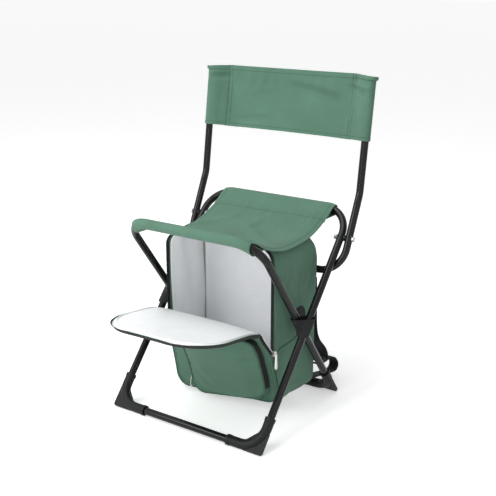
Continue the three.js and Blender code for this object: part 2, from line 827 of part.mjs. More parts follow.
// One side of the bag's outline at one depth, from its bottom corner up to its top corner
function sideLine(side, v, y, inset = 0) {
  const shareBack = (y - bagFront) / (bagBack - bagFront);
  const half = bagHalf + bagFlare * shareBack - inset;
  const [lowRadius, topRadius] = [bagBottomRadius - inset, bagTopRadius - inset];
  const low = floorAt(side * (half - lowRadius)) + inset;
  const top = roofAt(side * (half - topRadius), y, inset);
  const lowArc = (lowRadius * Math.PI) / 2;
  const topArc = (topRadius * Math.PI) / 2;
  const straight = top - low - lowRadius - topRadius;
  const place = v * (lowArc + straight + topArc);
  if (place < lowArc) {
    const angle = place / lowRadius;
    const x = half - lowRadius + lowRadius * Math.sin(angle);
    return [side * x, low + lowRadius - lowRadius * Math.cos(angle)];
  }
  if (place < lowArc + straight) return [side * half, low + lowRadius + place - lowArc];
  const angle = (place - lowArc - straight) / topRadius;
  const x = half - topRadius + topRadius * Math.cos(angle);
  return [side * x, top - topRadius + topRadius * Math.sin(angle)];
}

function sidePanel(side) {
  return (u, v) => {
    const share = side > 0 ? u : 1 - u;
    const from = sideFront(sideLine(side, v, bagFront)[1]);
    const y = from + (bagBack - from) * share;
    const [x, z] = sideLine(side, v, y);
    const swell = bagBulge * Math.sin(Math.PI * share) * Math.sin(Math.PI * v);
    return new THREE.Vector3(x + side * swell, y, z);
  };
}

for (const [word, side] of sides) {
  add(bag, `bag_side_${word}`, sheet(sidePanel(side), 6, 14, panelThickness), greenCloth);
}

function topPanel(u, v) {
  const y = bagFront + (bagBack - bagFront) * v;
  const x = (sideLine(1, 1, y)[0] - panelGap) * (2 * u - 1);
  return new THREE.Vector3(x, y, roofAt(x, y));
}

add(bag, 'bag_top_panel', sheet(topPanel, 6, 12, panelThickness), greenCloth);

function bottomPanel(u, v) {
  const y = bottomFrom + (bagBack - bottomFrom) * v;
  const x = (sideLine(1, 0, y)[0] - panelGap) * (1 - 2 * u);
  const sag = bottomSag * Math.sin(Math.PI * u) * Math.sin(Math.PI * v);
  return new THREE.Vector3(x, y, floorAt(x) - sag);
}

const bottomFrom = toeY + behindFront;
add(bag, 'bag_bottom_panel', sheet(bottomPanel, 6, 4, panelThickness), greenCloth);

// The whole outline at one depth, and a solid skinned through such outlines
function bagOutline(y, inset = 0) {
  const steps = 14;
  const line = (side) =>
    Array.from({ length: steps + 1 }, (_, i) => sideLine(side, i / steps, y, inset));
  return [...line(1), ...line(-1).reverse()].map(([x, z]) => new THREE.Vector3(x, y, z));
}

const seenFromFront = (p) => new THREE.Vector2(p.z, p.x);
const backFrom = bagBack + seatGap;
const backOutline = bagOutline(bagBack);
const backSections = [0, panelThickness].map((deep) => ({
  outline: backOutline.map((p) => new THREE.Vector3(p.x, backFrom + deep, p.z)).reverse(),
  holes: [],
}));
add(bag, 'bag_back_panel', loft(backSections, seenFromFront), greenCloth);

// The white lining is a thin box, open to the front
function boxAlong(inset, from) {
  const roofStart = bagBack - bagBackRadius;
  const depths = [0, 0.5, 0.75, 0.9, 1].map(
    (share) => roofStart + (bagBackRadius - inset) * share,
  );
  const sections = [from, 0, ...depths].map((y) => ({
    outline: bagOutline(y, inset).reverse(),
    holes: [],
  }));
  return loft(sections, seenFromFront);
}

const liningInset = panelThickness + bottomSag + 5 * seatGap;
const wedgeShares = [0, 0.2, 0.4, 0.63];
const wedgeToe = toeY + 2 * panelThickness;
const frontWedge = new THREE.Shape([
  new THREE.Vector2(-crestReach, 0),
  new THREE.Vector2(wedgeToe, 0),
  ...wedgeShares.map((share) => {
    const z = bagBottom + share * (crestHeight - bagBottom);
    return new THREE.Vector2(Math.max(frontY(z, 1), frontY(z, 0)) + 2 * panelThickness, z);
  }),
  new THREE.Vector2(bagFront - overrun, openingBottom),
  new THREE.Vector2(-crestReach, openingBottom),
]);
const wedgeCutter = new THREE.ExtrudeGeometry(frontWedge, {
  depth: 4 * bagHalf,
  bevelEnabled: false,
});
wedgeCutter.rotateX(degrees(90)).rotateZ(degrees(90)).translate(-2 * bagHalf, 0, 0);
const lining = cut(
  boxAlong(liningInset, bagFront + seatGap),
  boxAlong(liningInset + liningThickness, bagFront - overrun),
  wedgeCutter,
);
add(bag, 'bag_lining', lining, whiteLining);

// Front panel: sewn to the sides as far as the zipper's ends, free and leaning out above
const frontHalf = bagHalf - liningThickness;

function frontSurface(u, v) {
  const s = 2 * u - 1;
  const edge = Math.abs(s) ** 3;
  const round = roundIn(frontHalf * (1 - Math.abs(s)), bagBottomRadius);
  const low = floorAt(s * frontHalf) + round;
  const high = crestHeight - crestEdgeDrop * edge;
  const z = low + (high - low) * v;
  const free = Math.max(0, (z - openingBottom) / (crestHeight - openingBottom));
  const x = s * (frontHalf + (crestHalfWidth - frontHalf) * free);
  return new THREE.Vector3(x, frontY(z, edge), z);
}

add(bag, 'front_panel', sheet(frontSurface, 16, 12, panelThickness), greenCloth);

// Zipper tapes: ribbons that follow an edge
function ribbon(edge, steps, width, direction) {
  return sheet(
    (u, v) => edge(u).addScaledVector(direction, width * v),
    steps,
    1,
    tapeThickness,
  );
}

function alongPoints(points) {
  const lengths = [0];
  for (let i = 1; i < points.length; i++) {
    lengths.push(lengths[i - 1] + points[i].distanceTo(points[i - 1]));
  }
  return (u) => {
    const place = Math.min(u, 1) * lengths.at(-1);
    const next = Math.max(1, lengths.findIndex((length) => length >= place));
    const share = (place - lengths[next - 1]) / (lengths[next] - lengths[next - 1]);
    return points[next - 1].clone().lerp(points[next], share);
  };
}

const forward = new THREE.Vector3(0, -1, 0);
const openingPoints = bagOutline(bagFront, panelThickness / 2)
  .filter((point) => point.z > openingBottom)
  .map((point) => point.setY(bagFront - 4 * seatGap));
add(
  bag,
  'opening_zipper_tape',
  ribbon(alongPoints(openingPoints), 24, tapeWidth, forward),
  blackWebbing,
);

const tapeOut = seatGap + tapeThickness;
for (const [word, side] of sides) {
  const cornerTop = floorAt(side * frontHalf) + bagBottomRadius;
  const freeFrom = (openingBottom - cornerTop) / (crestHeight - crestEdgeDrop - cornerTop);
  const freeTo = 0.98; // share of the edge where the tape stops short of the flap
  const edge = (u) => {
    const v = freeFrom + (freeTo - freeFrom) * (side > 0 ? u : 1 - u);
    const point = frontSurface(side > 0 ? 1 : 0, v);
    return point.add(new THREE.Vector3(side * tapeOut, tapeWidth / 2, 0));
  };
  add(bag, `front_zipper_tape_${word}`, ribbon(edge, 6, tapeWidth, forward), blackWebbing);
}

// The flap folds forward from the crest, from a straight edge, and lies nearly level
function flapSurface(lift, grow = 0) {
  return (u, v) => {
    const s = 2 * u - 1;
    const down = (flapLength + grow) * Math.sin((v * Math.PI) / 2);
    const narrow = roundIn(flapLength + grow - down, flapCornerRadius);
    const share = down / flapLength;
    const x = s * (flapHalfWidth + grow - narrow) - flapDrift * share;
    const across = x / flapHalfWidth;
    const droop = (flapTwist * across + flapCrown * across ** 2) * share;
    const curl = flapCurl * (1 - (1 - share) ** 3);
    const rise = curl + flapRise * share ** 2 - droop;
    return new THREE.Vector3(x, -crestReach - seatGap - down, crestHeight + rise + lift);
  };
}

const liningLift = flapThickness + seatGap;
add(bag, 'flap_panel', sheet(flapSurface(0), 12, 10, flapThickness), greenCloth);
add(bag, 'flap_lining', sheet(flapSurface(liningLift), 12, 10, liningThickness), whiteLining);
const flapRim = flapSurface(liningLift, tapeOut + seatGap);
const rimSteps = 10;
const rimPoints = [
  ...Array.from({ length: rimSteps }, (_, i) => flapRim(1, i / rimSteps)),
  ...Array.from({ length: rimSteps + 1 }, (_, i) => flapRim(1 - i / rimSteps, 1)),
  ...Array.from({ length: rimSteps }, (_, i) => flapRim(0, (rimSteps - 1 - i) / rimSteps)),
];
const downward = new THREE.Vector3(0, 0, -1);
add(
  bag,
  'flap_zipper_tape',
  ribbon(alongPoints(rimPoints), 40, tapeWidth, downward),
  blackWebbing,
);

// The slider is parked at the zipper's end on the sitter's left, with its pull hanging
function pullTab(length, width, thickness, hole) {
  const shape = new THREE.Shape();
  const half = width / 2;
  shape.moveTo(-half / 2, 0);
  shape.lineTo(-half, -length + half);
  shape.absarc(0, -length + half, half, Math.PI, 2 * Math.PI, false);
  shape.lineTo(half / 2, 0);
  const eye = new THREE.Path();
  eye.absarc(0, -length + half, hole / 2, 0, 2 * Math.PI, true);
  shape.holes.push(eye);
  const tab = new THREE.ExtrudeGeometry(shape, {
    depth: thickness,
    bevelEnabled: false,
    curveSegments: 6,
  });
  return tab.rotateX(degrees(90)).rotateZ(degrees(90));
}

const sliderX = frontHalf + tapeOut + seatGap;
const sliderY = bagFront - tapeWidth / 2;
const slider = block(
  sliderDepth, sliderWidth, sliderLength, sliderX + sliderDepth / 2, sliderY, openingBottom,
);
add(bag, 'zipper_slider', slider, nickel);
const pull = pullTab(pullLength, pullWidth, pullThickness, pullHoleDiameter);
pull.translate(sliderX + sliderDepth + seatGap, sliderY, openingBottom);
add(bag, 'zipper_pull', pull, nickel);

// The pocket is a flat pouch, open at the back, sewn to the front panel
const pocketMiddle = (pocketLeft + pocketRight) / 2;

function pocketSurface(lift, inset = 0) {
  return (u, v) => {
    const tall = pocketHigh - pocketLow - 2 * inset;
    const up = (tall * (1 - Math.cos(Math.PI * v))) / 2;
    const narrow = roundIn(Math.min(up, tall - up), pocketCornerRadius);
    const half = (pocketRight - pocketLeft) / 2 - inset - narrow;
    const x = pocketMiddle + half * (2 * u - 1);
    const z = pocketLow + inset + up + Math.tan(pocketTilt) * (x - pocketMiddle) * (1 - up / tall);
    return new THREE.Vector3(x, frontY(z, Math.abs(x / frontHalf) ** 3) - lift, z);
  };
}

const pouch = cut(
  slab(pocketSurface(pocketDepth), pocketSurface(4 * seatGap), 8, 12),
  slab(pocketSurface(pocketDepth - pocketWall, pocketWall), pocketSurface(-overrun, pocketWall), 8, 12),
);
add(bag, 'pocket_pouch', pouch, greenCloth);
const pocketRim = pocketSurface(pocketDepth - pocketWall, -tapeOut - 3 * seatGap);
const rimFrom = 0.28; // share of the pocket's height where its zipper ends
const rimShare = (i) => rimFrom + ((1 - rimFrom) * i) / rimSteps;
const pocketRimPoints = [
  ...Array.from({ length: rimSteps }, (_, i) => pocketRim(0, rimShare(i))),
  ...Array.from({ length: rimSteps + 1 }, (_, i) => pocketRim(i / rimSteps, 1)),
  ...Array.from({ length: rimSteps }, (_, i) => pocketRim(1, rimShare(rimSteps - 1 - i))),
];
const backward = new THREE.Vector3(0, 1, 0);
add(
  bag,
  'pocket_zipper_tape',
  ribbon(alongPoints(pocketRimPoints), 36, pocketTapeWidth, backward),
  blackWebbing,
);

// Its small slider is parked at the lower end on the sitter's right
const smallWidth = sliderWidth * pocketSliderScaleShare;
const smallLength = sliderLength * pocketSliderScaleShare;
const smallDepth = sliderDepth * pocketSliderScaleShare;
const rimEnd = pocketRimPoints[0];
const smallX = rimEnd.x - 2 * seatGap - smallDepth / 2;
const smallY = rimEnd.y + pocketTapeWidth / 2;
const smallSlider = block(smallDepth, smallWidth, smallLength, smallX, smallY, rimEnd.z);
add(bag, 'pocket_slider', smallSlider, nickel);
const smallPull = pullTab(
  pullLength * pocketSliderScaleShare,
  pullWidth * pocketSliderScaleShare,
  pullThickness,
  pullHoleDiameter * pocketSliderScaleShare,
);
smallPull.translate(smallX - smallDepth / 2 - seatGap - pullThickness, smallY, rimEnd.z);
add(bag, 'pocket_pull', smallPull, nickel);

// Black patches on the bag's sides, and bands from them round the crossing of the legs
const flareAngle = Math.atan(bagFlare / (bagBack - bagFront));
const patchX = bagHalf + Math.tan(flareAngle) * (patchBehind - bagFront) + bagBulge + seatGap;
for (const [word, side] of sides) {
  const disc = new THREE.Shape();
  disc.absarc(0, 0, patchRadius, 0, Math.PI, false);
  const patch = new THREE.ExtrudeGeometry(disc, {
    depth: patchThickness,
    bevelEnabled: false,
    curveSegments: 8,
  });
  patch.rotateX(degrees(90)).rotateZ(degrees(90)).rotateZ(-side * flareAngle);
  const patchFrom = side > 0 ? patchX : -patchX - patchThickness;
  patch.translate(patchFrom, patchBehind, pivotHeight - patchRadius / 4);
  add(bag, `pivot_patch_${word}`, patch, blackWebbing);

  const bandInner = outerWidth / 2 + tubeRadius + rivetHeadHeight + 2 * seatGap;
  const plate = new THREE.Shape([
    new THREE.Vector2(-bandBottomWidth / 2, -tongueHeight),
    new THREE.Vector2(bandBottomWidth / 2, -tongueHeight),
    new THREE.Vector2(bandTopWidth / 2, bandUp),
    new THREE.Vector2(tongueHalf, tongueHeight),
    new THREE.Vector2(-tongueHalf, tongueHeight),
    new THREE.Vector2(-bandTopWidth / 2, bandUp),
  ]);
  const front = new THREE.ExtrudeGeometry(plate, { depth: bandThickness, bevelEnabled: false });
  front.rotateX(degrees(90)).rotateZ(degrees(90)).translate(bandInner, 0, 0);
  const reach = bandInner + bandThickness - (patchX + patchThickness + seatGap);
  const tongues = [1, -1].map((way) =>
    block(
      reach,
      2 * tongueHalf,
      bandThickness,
      bandInner + bandThickness - reach / 2,
      0,
      way * (tongueHeight - bandThickness / 2),
    ),
  );
  const band = join(front, ...tongues);
  if (side < 0) band.rotateZ(Math.PI);
  band.translate(0, 0, pivotHeight);
  add(model, `pivot_band_${word}`, band, blackWebbing);
}

// Carrying straps on the bag's back: a padded strap, a ladder buckle and the webbing below
const backFace = bagBack + 2 * seatGap + panelThickness;
const webbingReach = frontBarY + webbingPast - backFace;
const strapX = bagHalf + bagFlare - strapInset;
const strapShares = [[0, 0], [0.3, 0.06], [0.55, 0.15], [0.7, 0.5], [0.82, 0.92], [0.94, 1], [1, 1]];
const webbingShares = [
  [0.43, 1], [0.45, 0.9], [0.82, 0.84], [1, 0.46], [0.94, 0.3], [0.74, 0.42], [0.4, 0.66], [0.03, 0.8],
];

function strip(points, width, thickness, steps) {
  const curve = new THREE.CatmullRomCurve3(points);
  const surface = (u, v) => curve.getPoint(u).add(new THREE.Vector3(width * (v - 0.5), 0, 0));
  return sheet(surface, steps, 1, thickness);
}

for (const [word, side] of sides) {
  const x = side * strapX;
  const strapPoints = strapShares.map(
    ([down, out]) =>
      new THREE.Vector3(
        x, backFace + strapStandoff * out, strapStart - (strapStart - strapEnd) * down,
      ),
  );
  const strap = strip(strapPoints, strapWidth, strapThickness, 14);
  add(bag, `shoulder_strap_${word}`, strap, blackWebbing);

  const lockY = backFace + strapStandoff + strapThickness / 2;
  const lockZ = strapEnd - buckleHeight / 2 - strapGap;
  const window = buckleHeight / 2 - buckleBar;
  const windows = [1, -1].map((way) =>
    block(
      buckleWidth - 2 * buckleBar,
      2 * buckleThickness,
      window - buckleBar / 2,
      x,
      lockY,
      lockZ + (way * (window + buckleBar / 2)) / 2,
    ),
  );
  const frame = block(buckleWidth, buckleThickness, buckleHeight, x, lockY, lockZ);
  add(bag, `ladder_lock_${word}`, cut(frame, ...windows), darkPlastic);

  const webbingTop = lockZ - buckleHeight / 2 - strapGap;
  const webbingPoints = webbingShares.map(
    ([out, up]) => new THREE.Vector3(x, backFace + webbingReach * out, webbingTop * up),
  );
  const webbing = strip(webbingPoints, webbingWidth, webbingThickness, 24);
  add(bag, `strap_webbing_${word}`, webbing, blackWebbing);
}

// A grab handle across the top of the bag's back
const handleShares = [[-1, 0], [-0.8, 0.3], [-0.4, 0.95], [0, 1], [0.4, 0.95], [0.8, 0.3], [1, 0]];
const handleCurve = new THREE.CatmullRomCurve3(
  handleShares.map(([share, out]) =>
    new THREE.Vector3(share * handleHalf, backFace + handleStandoff * out, handleHeight),
  ),
);
const handleSurface = (u, v) =>
  handleCurve.getPoint(u).add(new THREE.Vector3(0, 0, webbingWidth * (v - 0.5)));
add(bag, 'grab_handle', sheet(handleSurface, 14, 1, webbingThickness), blackWebbing);

export default model;
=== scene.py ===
# A folding stool with a backrest and a zip bag under its seat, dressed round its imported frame.
# Metres, +Z up, +X to the sitter's left, the seat's front faces -Y, and the floor is Z = 0.
import math

import bmesh
import bpy
import numpy as np
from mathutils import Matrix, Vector
from mathutils.bvhtree import BVHTree


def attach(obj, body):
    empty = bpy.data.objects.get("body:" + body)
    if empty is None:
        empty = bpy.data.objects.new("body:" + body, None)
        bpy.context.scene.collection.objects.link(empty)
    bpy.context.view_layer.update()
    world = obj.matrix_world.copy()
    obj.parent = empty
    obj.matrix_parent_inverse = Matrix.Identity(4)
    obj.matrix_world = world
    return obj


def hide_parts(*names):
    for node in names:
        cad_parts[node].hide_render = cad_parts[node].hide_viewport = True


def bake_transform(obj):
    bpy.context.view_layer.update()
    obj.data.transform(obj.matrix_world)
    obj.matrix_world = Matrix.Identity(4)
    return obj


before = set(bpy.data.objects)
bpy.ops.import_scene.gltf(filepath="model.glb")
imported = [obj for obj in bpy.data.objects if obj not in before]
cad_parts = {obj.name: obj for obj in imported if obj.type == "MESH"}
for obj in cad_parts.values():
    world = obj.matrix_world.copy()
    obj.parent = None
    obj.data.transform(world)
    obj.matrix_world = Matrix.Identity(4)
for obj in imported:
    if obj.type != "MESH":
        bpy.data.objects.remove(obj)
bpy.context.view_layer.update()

# Camera
# It stands in front of the stool and to the sitter's left, a little above the seat, and looks
# at the middle of the whole with a long lens.
camera_azimuth = math.radians(34.56)
camera_height_angle = math.radians(16.97)
camera_distance = 1.8807
camera_target = Vector((0.0368, 0.025, 0.3552))
camera_lens, camera_sensor = 65.2, 36


def added(name, data):
    """A new object in the scene."""
    piece = bpy.data.objects.new(name, data)
    bpy.context.scene.collection.objects.link(piece)
    return piece


backwards = Vector((
    math.sin(camera_azimuth) * math.cos(camera_height_angle),
    -math.cos(camera_azimuth) * math.cos(camera_height_angle),
    math.sin(camera_height_angle),
))
camera = added("camera", bpy.data.cameras.new("camera"))
camera.data.lens = camera_lens
camera.data.sensor_width = camera_sensor
camera.location = camera_target + backwards * camera_distance
camera.rotation_mode = "QUATERNION"
camera.rotation_quaternion = (-backwards).to_track_quat("-Z", "Y")
bpy.context.scene.camera = camera

# Studio
# A pale floor that runs out of sight, a white surround, one large soft lamp overhead, a soft one
# in front, and two tall strips near the camera, which draw the long thin lines on the tubes.
floor_size = 60
floor_white = (0.93, 0.935, 0.935, 1)
floor_roughness, floor_shine = 0.6, 0.2
plain_white = (1, 1, 1, 1)
surround_light = 0.43
floor_glow = 0.46
lamps = [
    ("overhead_lamp", (-0.5, -0.7, 2.6), (1.8, 1.8), 37),
    ("front_lamp", (-1.1, -2.1, 1.5), (1.3, 1.0), 24),
    ("left_strip", (0.067, -1.125, 0.45), (0.05, 0.9), 2.6),
    ("right_strip", (1.10, -0.415, 0.45), (0.03, 0.9), 1.2),
]


def blank_material(name):
    """A new material, its node tree and its shader."""
    material = bpy.data.materials.new(name)
    material.use_nodes = True
    return material, material.node_tree, material.node_tree.nodes["Principled BSDF"]


def set_inputs(node, **values):
    """Sets a node's inputs by their names, with an underscore for each space."""
    for name, value in values.items():
        node.inputs[name.replace("_", " ")].default_value = value


def calculated(tree, operation, *terms):
    """The result of a maths node on its terms, each a number or a socket."""
    node = tree.nodes.new("ShaderNodeMath")
    node.operation = operation
    for socket, term in zip(node.inputs, terms):
        if isinstance(term, (int, float)):
            socket.default_value = term
        else:
            tree.links.new(term, socket)
    return node.outputs[0]


def seen_directly(tree):
    """1 where a camera ray or a mirrored ray looks, else 0."""
    path = tree.nodes.new("ShaderNodeLightPath")
    return calculated(tree, "MAXIMUM", path.outputs["Is Camera Ray"], path.outputs["Is Glossy Ray"])


floor_mesh = bpy.data.meshes.new("studio_floor")
half_floor = floor_size / 2
floor_mesh.from_pydata(
    [(x, y, 0) for x, y in ((-half_floor, -half_floor), (half_floor, -half_floor),
                            (half_floor, half_floor), (-half_floor, half_floor))],
    [], [(0, 1, 2, 3)])
floor = added("studio_floor", floor_mesh)
floor_paint, tree, shader = blank_material("studio_floor")
set_inputs(shader, Base_Color=floor_white, Roughness=floor_roughness,
           Specular_IOR_Level=floor_shine, Emission_Color=plain_white)
tree.links.new(calculated(tree, "MULTIPLY", seen_directly(tree), floor_glow),
               shader.inputs["Emission Strength"])
floor_mesh.materials.append(floor_paint)

world = bpy.data.worlds.new("surround")
world.use_nodes = True
bpy.context.scene.world = world
tree = world.node_tree
sky, strength = tree.nodes["Background"], tree.nodes.new("ShaderNodeMapRange")
set_inputs(strength, To_Min=surround_light, To_Max=1)
set_inputs(sky, Color=plain_white)
tree.links.new(seen_directly(tree), strength.inputs["Value"])
tree.links.new(strength.outputs["Result"], sky.inputs["Strength"])

for name, place, size, power in lamps:
    lamp = added(name, bpy.data.lights.new(name, "AREA"))
    lamp.data.shape = "RECTANGLE"
    lamp.data.size, lamp.data.size_y = size
    lamp.data.energy = power
    lamp.location = place
    lamp.visible_camera = False
    lamp.rotation_mode = "QUATERNION"
    lamp.rotation_quaternion = (camera_target - Vector(place)).to_track_quat("-Z", "Y")
bpy.context.scene.view_settings.view_transform = "Standard"

# Steel tubes
# Each frame is bent from 16 mm steel tube in two lengths, one pushed into the other, and coated
# in glossy black enamel. The back's posts plug on to a third bent tube in the same way.
set_back = 0.025
tube_radius = 0.008
tube_sides = 40
outer_width, inner_width, back_width = 0.366, 0.329, 0.406
outer_reach, inner_reach = 0.2695, 0.2545
outer_lean = math.radians(40.6)
bar_height = 0.010
pivot_height = bar_height + outer_reach * math.cos(outer_lean)
inner_lean = math.acos((pivot_height - bar_height) / inner_reach)
seam_distance, seam_gap = 0.072, 0.0003
top_bend, foot_bend = 0.058, 0.045
bolt_reach = outer_reach - 0.0645
crossbar_drop, crossbar_bend = 0.075, 0.054
lower_back_lean, upper_back_lean = math.radians(24.5), math.radians(8.1)
lower_post, upper_post = 0.099, 0.240
kink_radius = 0.055
bend_steps, bend_sharp = 14, math.radians(50)
enamel_black = (0.005, 0.0052, 0.0056, 1)
both_sides = (("left", -1), ("right", 1))


def leg_point(x, reach, lean):
    """A point on a leaning frame, at one distance along its legs from the pivot."""
    return np.array((x, set_back + reach * math.sin(lean), pivot_height + reach * math.cos(lean)))


def unit(vectors):
    """Vectors of the same directions and a length of 1."""
    return vectors / np.linalg.norm(vectors, axis=-1, keepdims=True)


def bent_line(corners, radii):
    """Points along straight runs joined by round bends."""
    points = [corners[0]]
    for before, corner, after, radius in zip(corners, corners[1:], corners[2:], radii):
        back, ahead = unit(before - corner), unit(after - corner)
        half = math.acos(np.clip(back @ ahead, -1, 1)) / 2
        centre = corner + unit(back + ahead) * radius / math.sin(half)
        start = corner + back * radius / math.tan(half) - centre
        for step in range(bend_steps + 1):
            turn = (math.pi - 2 * half) * step / bend_steps
            points.append(centre + start * math.cos(turn) - back * radius * math.sin(turn))
    return np.array(points + [corners[-1]])


def new_tree(name, inputs):
    """An empty Geometry Nodes tree with named inputs, each a label, a socket kind and a value."""
    tree = bpy.data.node_groups.new(name, "GeometryNodeTree")
    face = tree.interface
    face.new_socket("Geometry", in_out="INPUT", socket_type="NodeSocketGeometry")
    for label, kind, value in inputs:
        socket = face.new_socket(label, in_out="INPUT", socket_type="NodeSocket" + kind)
        if value is not None:
            socket.default_value = value
    face.new_socket("Geometry", in_out="OUTPUT", socket_type="NodeSocketGeometry")
    return tree, tree.nodes.new("NodeGroupInput"), tree.nodes.new("NodeGroupOutput")


def chain(tree, start, *names):
    """Adds nodes one after another, each fed by the one before."""
    made = []
    for name in names:
        node = tree.nodes.new("GeometryNode" + name)
        tree.links.new(start, node.inputs[0])
        start = node.outputs[0]
        made.append(node)
    return made


def wired(tree, *pairs):
    """Links sockets in pairs, from the first to the second."""
    for source, target in pairs:
        tree.links.new(source, target)


def lines_object(name, lines):
    """An object of bare edges along lines of points, for a tree to grow on."""
    mesh = bpy.data.meshes.new(name)
    points, edges = [], []
    for line in lines:
        edges += [(len(points) + i, len(points) + i + 1) for i in range(len(line) - 1)]
        points += [tuple(p) for p in line]
    mesh.from_pydata(points, edges, [])
    return added(name, mesh)


def grown(piece, tree, **settings):
    """Runs a tree on a piece, keeps the result as its plain mesh and drops the modifier."""
    modifier = piece.modifiers.new("growth", "NODES")
    modifier.node_group = tree
    for item in tree.interface.items_tree:
        label = item.name.lower().replace(" ", "_")
        if item.item_type == "SOCKET" and item.in_out == "INPUT" and label in settings:
            modifier[item.identifier] = settings[label]
    return settled_mesh(piece)


def settled_mesh(piece):
    """Applies every modifier on a piece and drops them."""
    bpy.context.view_layer.update()
    graph = bpy.context.evaluated_depsgraph_get()
    mesh = bpy.data.meshes.new_from_object(piece.evaluated_get(graph))
    piece.modifiers.clear()
    old = piece.data
    piece.data = mesh
    bpy.data.meshes.remove(old)
    mesh.name = piece.name
    return piece


tube_tree, tube_in, tube_out = new_tree("bent_tube", [
    ("Radius", "Float", tube_radius), ("Sides", "Int", tube_sides), ("Finish", "Material", None)])
_, tube_skin, _, _, tube_paint = chain(
    tube_tree, tube_in.outputs["Geometry"], "MeshToCurve", "CurveToMesh", "SetShadeSmooth",
    "RealizeInstances", "SetMaterial")
tube_ring = tube_tree.nodes.new("GeometryNodeCurvePrimitiveCircle")
tube_skin.inputs["Fill Caps"].default_value = True
wired(tube_tree,
      (tube_in.outputs["Sides"], tube_ring.inputs["Resolution"]),
      (tube_in.outputs["Radius"], tube_ring.inputs["Radius"]),
      (tube_ring.outputs["Curve"], tube_skin.inputs["Profile Curve"]),
      (tube_in.outputs["Finish"], tube_paint.inputs["Material"]),
      (tube_paint.outputs[0], tube_out.inputs["Geometry"]))


def textured(tree, kind, source, **values):
    """A texture node with its values set, fed by a vector."""
    node = tree.nodes.new("ShaderNodeTex" + kind)
    for key, value in values.items():
        if key in node.inputs:
            node.inputs[key].default_value = value
        else:
            setattr(node, key, value)
    tree.links.new(source, node.inputs["Vector"])
    return node


def graded(tree, source, stops):
    """A colour ramp through the stops, each a place and a grey or a colour."""
    ramp = tree.nodes.new("ShaderNodeValToRGB")
    while len(ramp.color_ramp.elements) < len(stops):
        ramp.color_ramp.elements.new(0.5)
    for element, (place, colour) in zip(ramp.color_ramp.elements, stops):
        element.position = place
        element.color = colour if hasattr(colour, "__len__") else (colour, colour, colour, 1)
    tree.links.new(source, ramp.inputs["Fac"])
    return ramp.outputs["Color"]


def tinted(colour, share):
    """A colour made darker or lighter by a share."""
    return (*(min(1, share * part) for part in colour[:3]), 1)


def bumped(tree, height, distance, shader, strength=1.0):
    """Raises a surface by a height texture."""
    bump = tree.nodes.new("ShaderNodeBump")
    set_inputs(bump, Distance=distance, Strength=strength)
    wired(tree, (height, bump.inputs["Height"]), (bump.outputs["Normal"], shader.inputs["Normal"]))


def on_object(tree):
    """The place on the object, which a pattern follows."""
    return tree.nodes.new("ShaderNodeTexCoord").outputs["Object"]


def worn_material(name, colour, kind, wear, shades, roughness, relief=0.0, grain=None, **settings):
    """A hard finish whose colour and roughness follow one texture, with a fine grain on it."""
    material, tree, shader = blank_material(name)
    place = on_object(tree)
    worn = textured(tree, kind, place, **wear).outputs[0]
    stops = [(at, tinted(colour, share)) for at, share in shades]
    wired(tree, (graded(tree, worn, stops), shader.inputs["Base Color"]),
          (graded(tree, worn, roughness), shader.inputs["Roughness"]))
    set_inputs(shader, **settings)
    if relief:
        fine = textured(tree, "Noise", place, **grain).outputs[0] if grain else worn
        bumped(tree, fine, relief, shader)
    return material


enamel = worn_material(
    "black_enamel", enamel_black, "Noise", dict(Scale=38.0, Detail=5.0, Roughness=0.65),
    shades=((0.3, 1), (0.72, 1.7)), roughness=((0.35, 0.16), (0.75, 0.27)),
    relief=0.00006, grain=dict(Scale=900.0, Detail=2.0),
    Specular_IOR_Level=0.06, Coat_Weight=0.5, Coat_Roughness=0.05, Coat_IOR=1.4)


def dressed(piece, body, slot, *nodes):
    """Hides the nodes a piece replaces, attaches it to any body given; the slot is not used."""
    if body:
        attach(piece, body)
    if nodes:
        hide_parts(*nodes)
    return piece


def round_trim(name, lines, radius, sides, finish, body, slot):
    """Thin round piping, welt or binding along lines."""
    piece = grown(lines_object(name, lines), tube_tree, radius=radius, sides=sides,
                  finish=finish)
    return dressed(piece, body, slot)


def enamelled_tube(name, line, body, node):
    """A coated tube along a line, in place of its plainer solid."""
    piece = grown(lines_object(name, [line]), tube_tree, finish=enamel)
    piece.data.set_sharp_from_angle(angle=bend_sharp)
    dressed(piece, body, "black_enamel", node)


for name, body, width, reach, lean in (
        ("outer", "outer_frame", outer_width, outer_reach, outer_lean),
        ("inner", "inner_frame", inner_width, inner_reach, -inner_lean)):
    half = width / 2
    hoop = [leg_point(x, along, lean) for x, along in (
        (-half, -seam_distance), (-half, reach), (half, reach), (half, -seam_distance))]
    enamelled_tube(f"{name}_upper_hoop", bent_line(hoop, [top_bend] * 2), body,
                   f"{name}_upper_tube")
    seam = -seam_distance - seam_gap
    hoop = [leg_point(x, along, lean) for x, along in (
        (-half, seam), (-half, -reach), (half, -reach), (half, seam))]
    enamelled_tube(f"{name}_lower_hoop", bent_line(hoop, [foot_bend] * 2), body,
                   f"{name}_lower_tube")

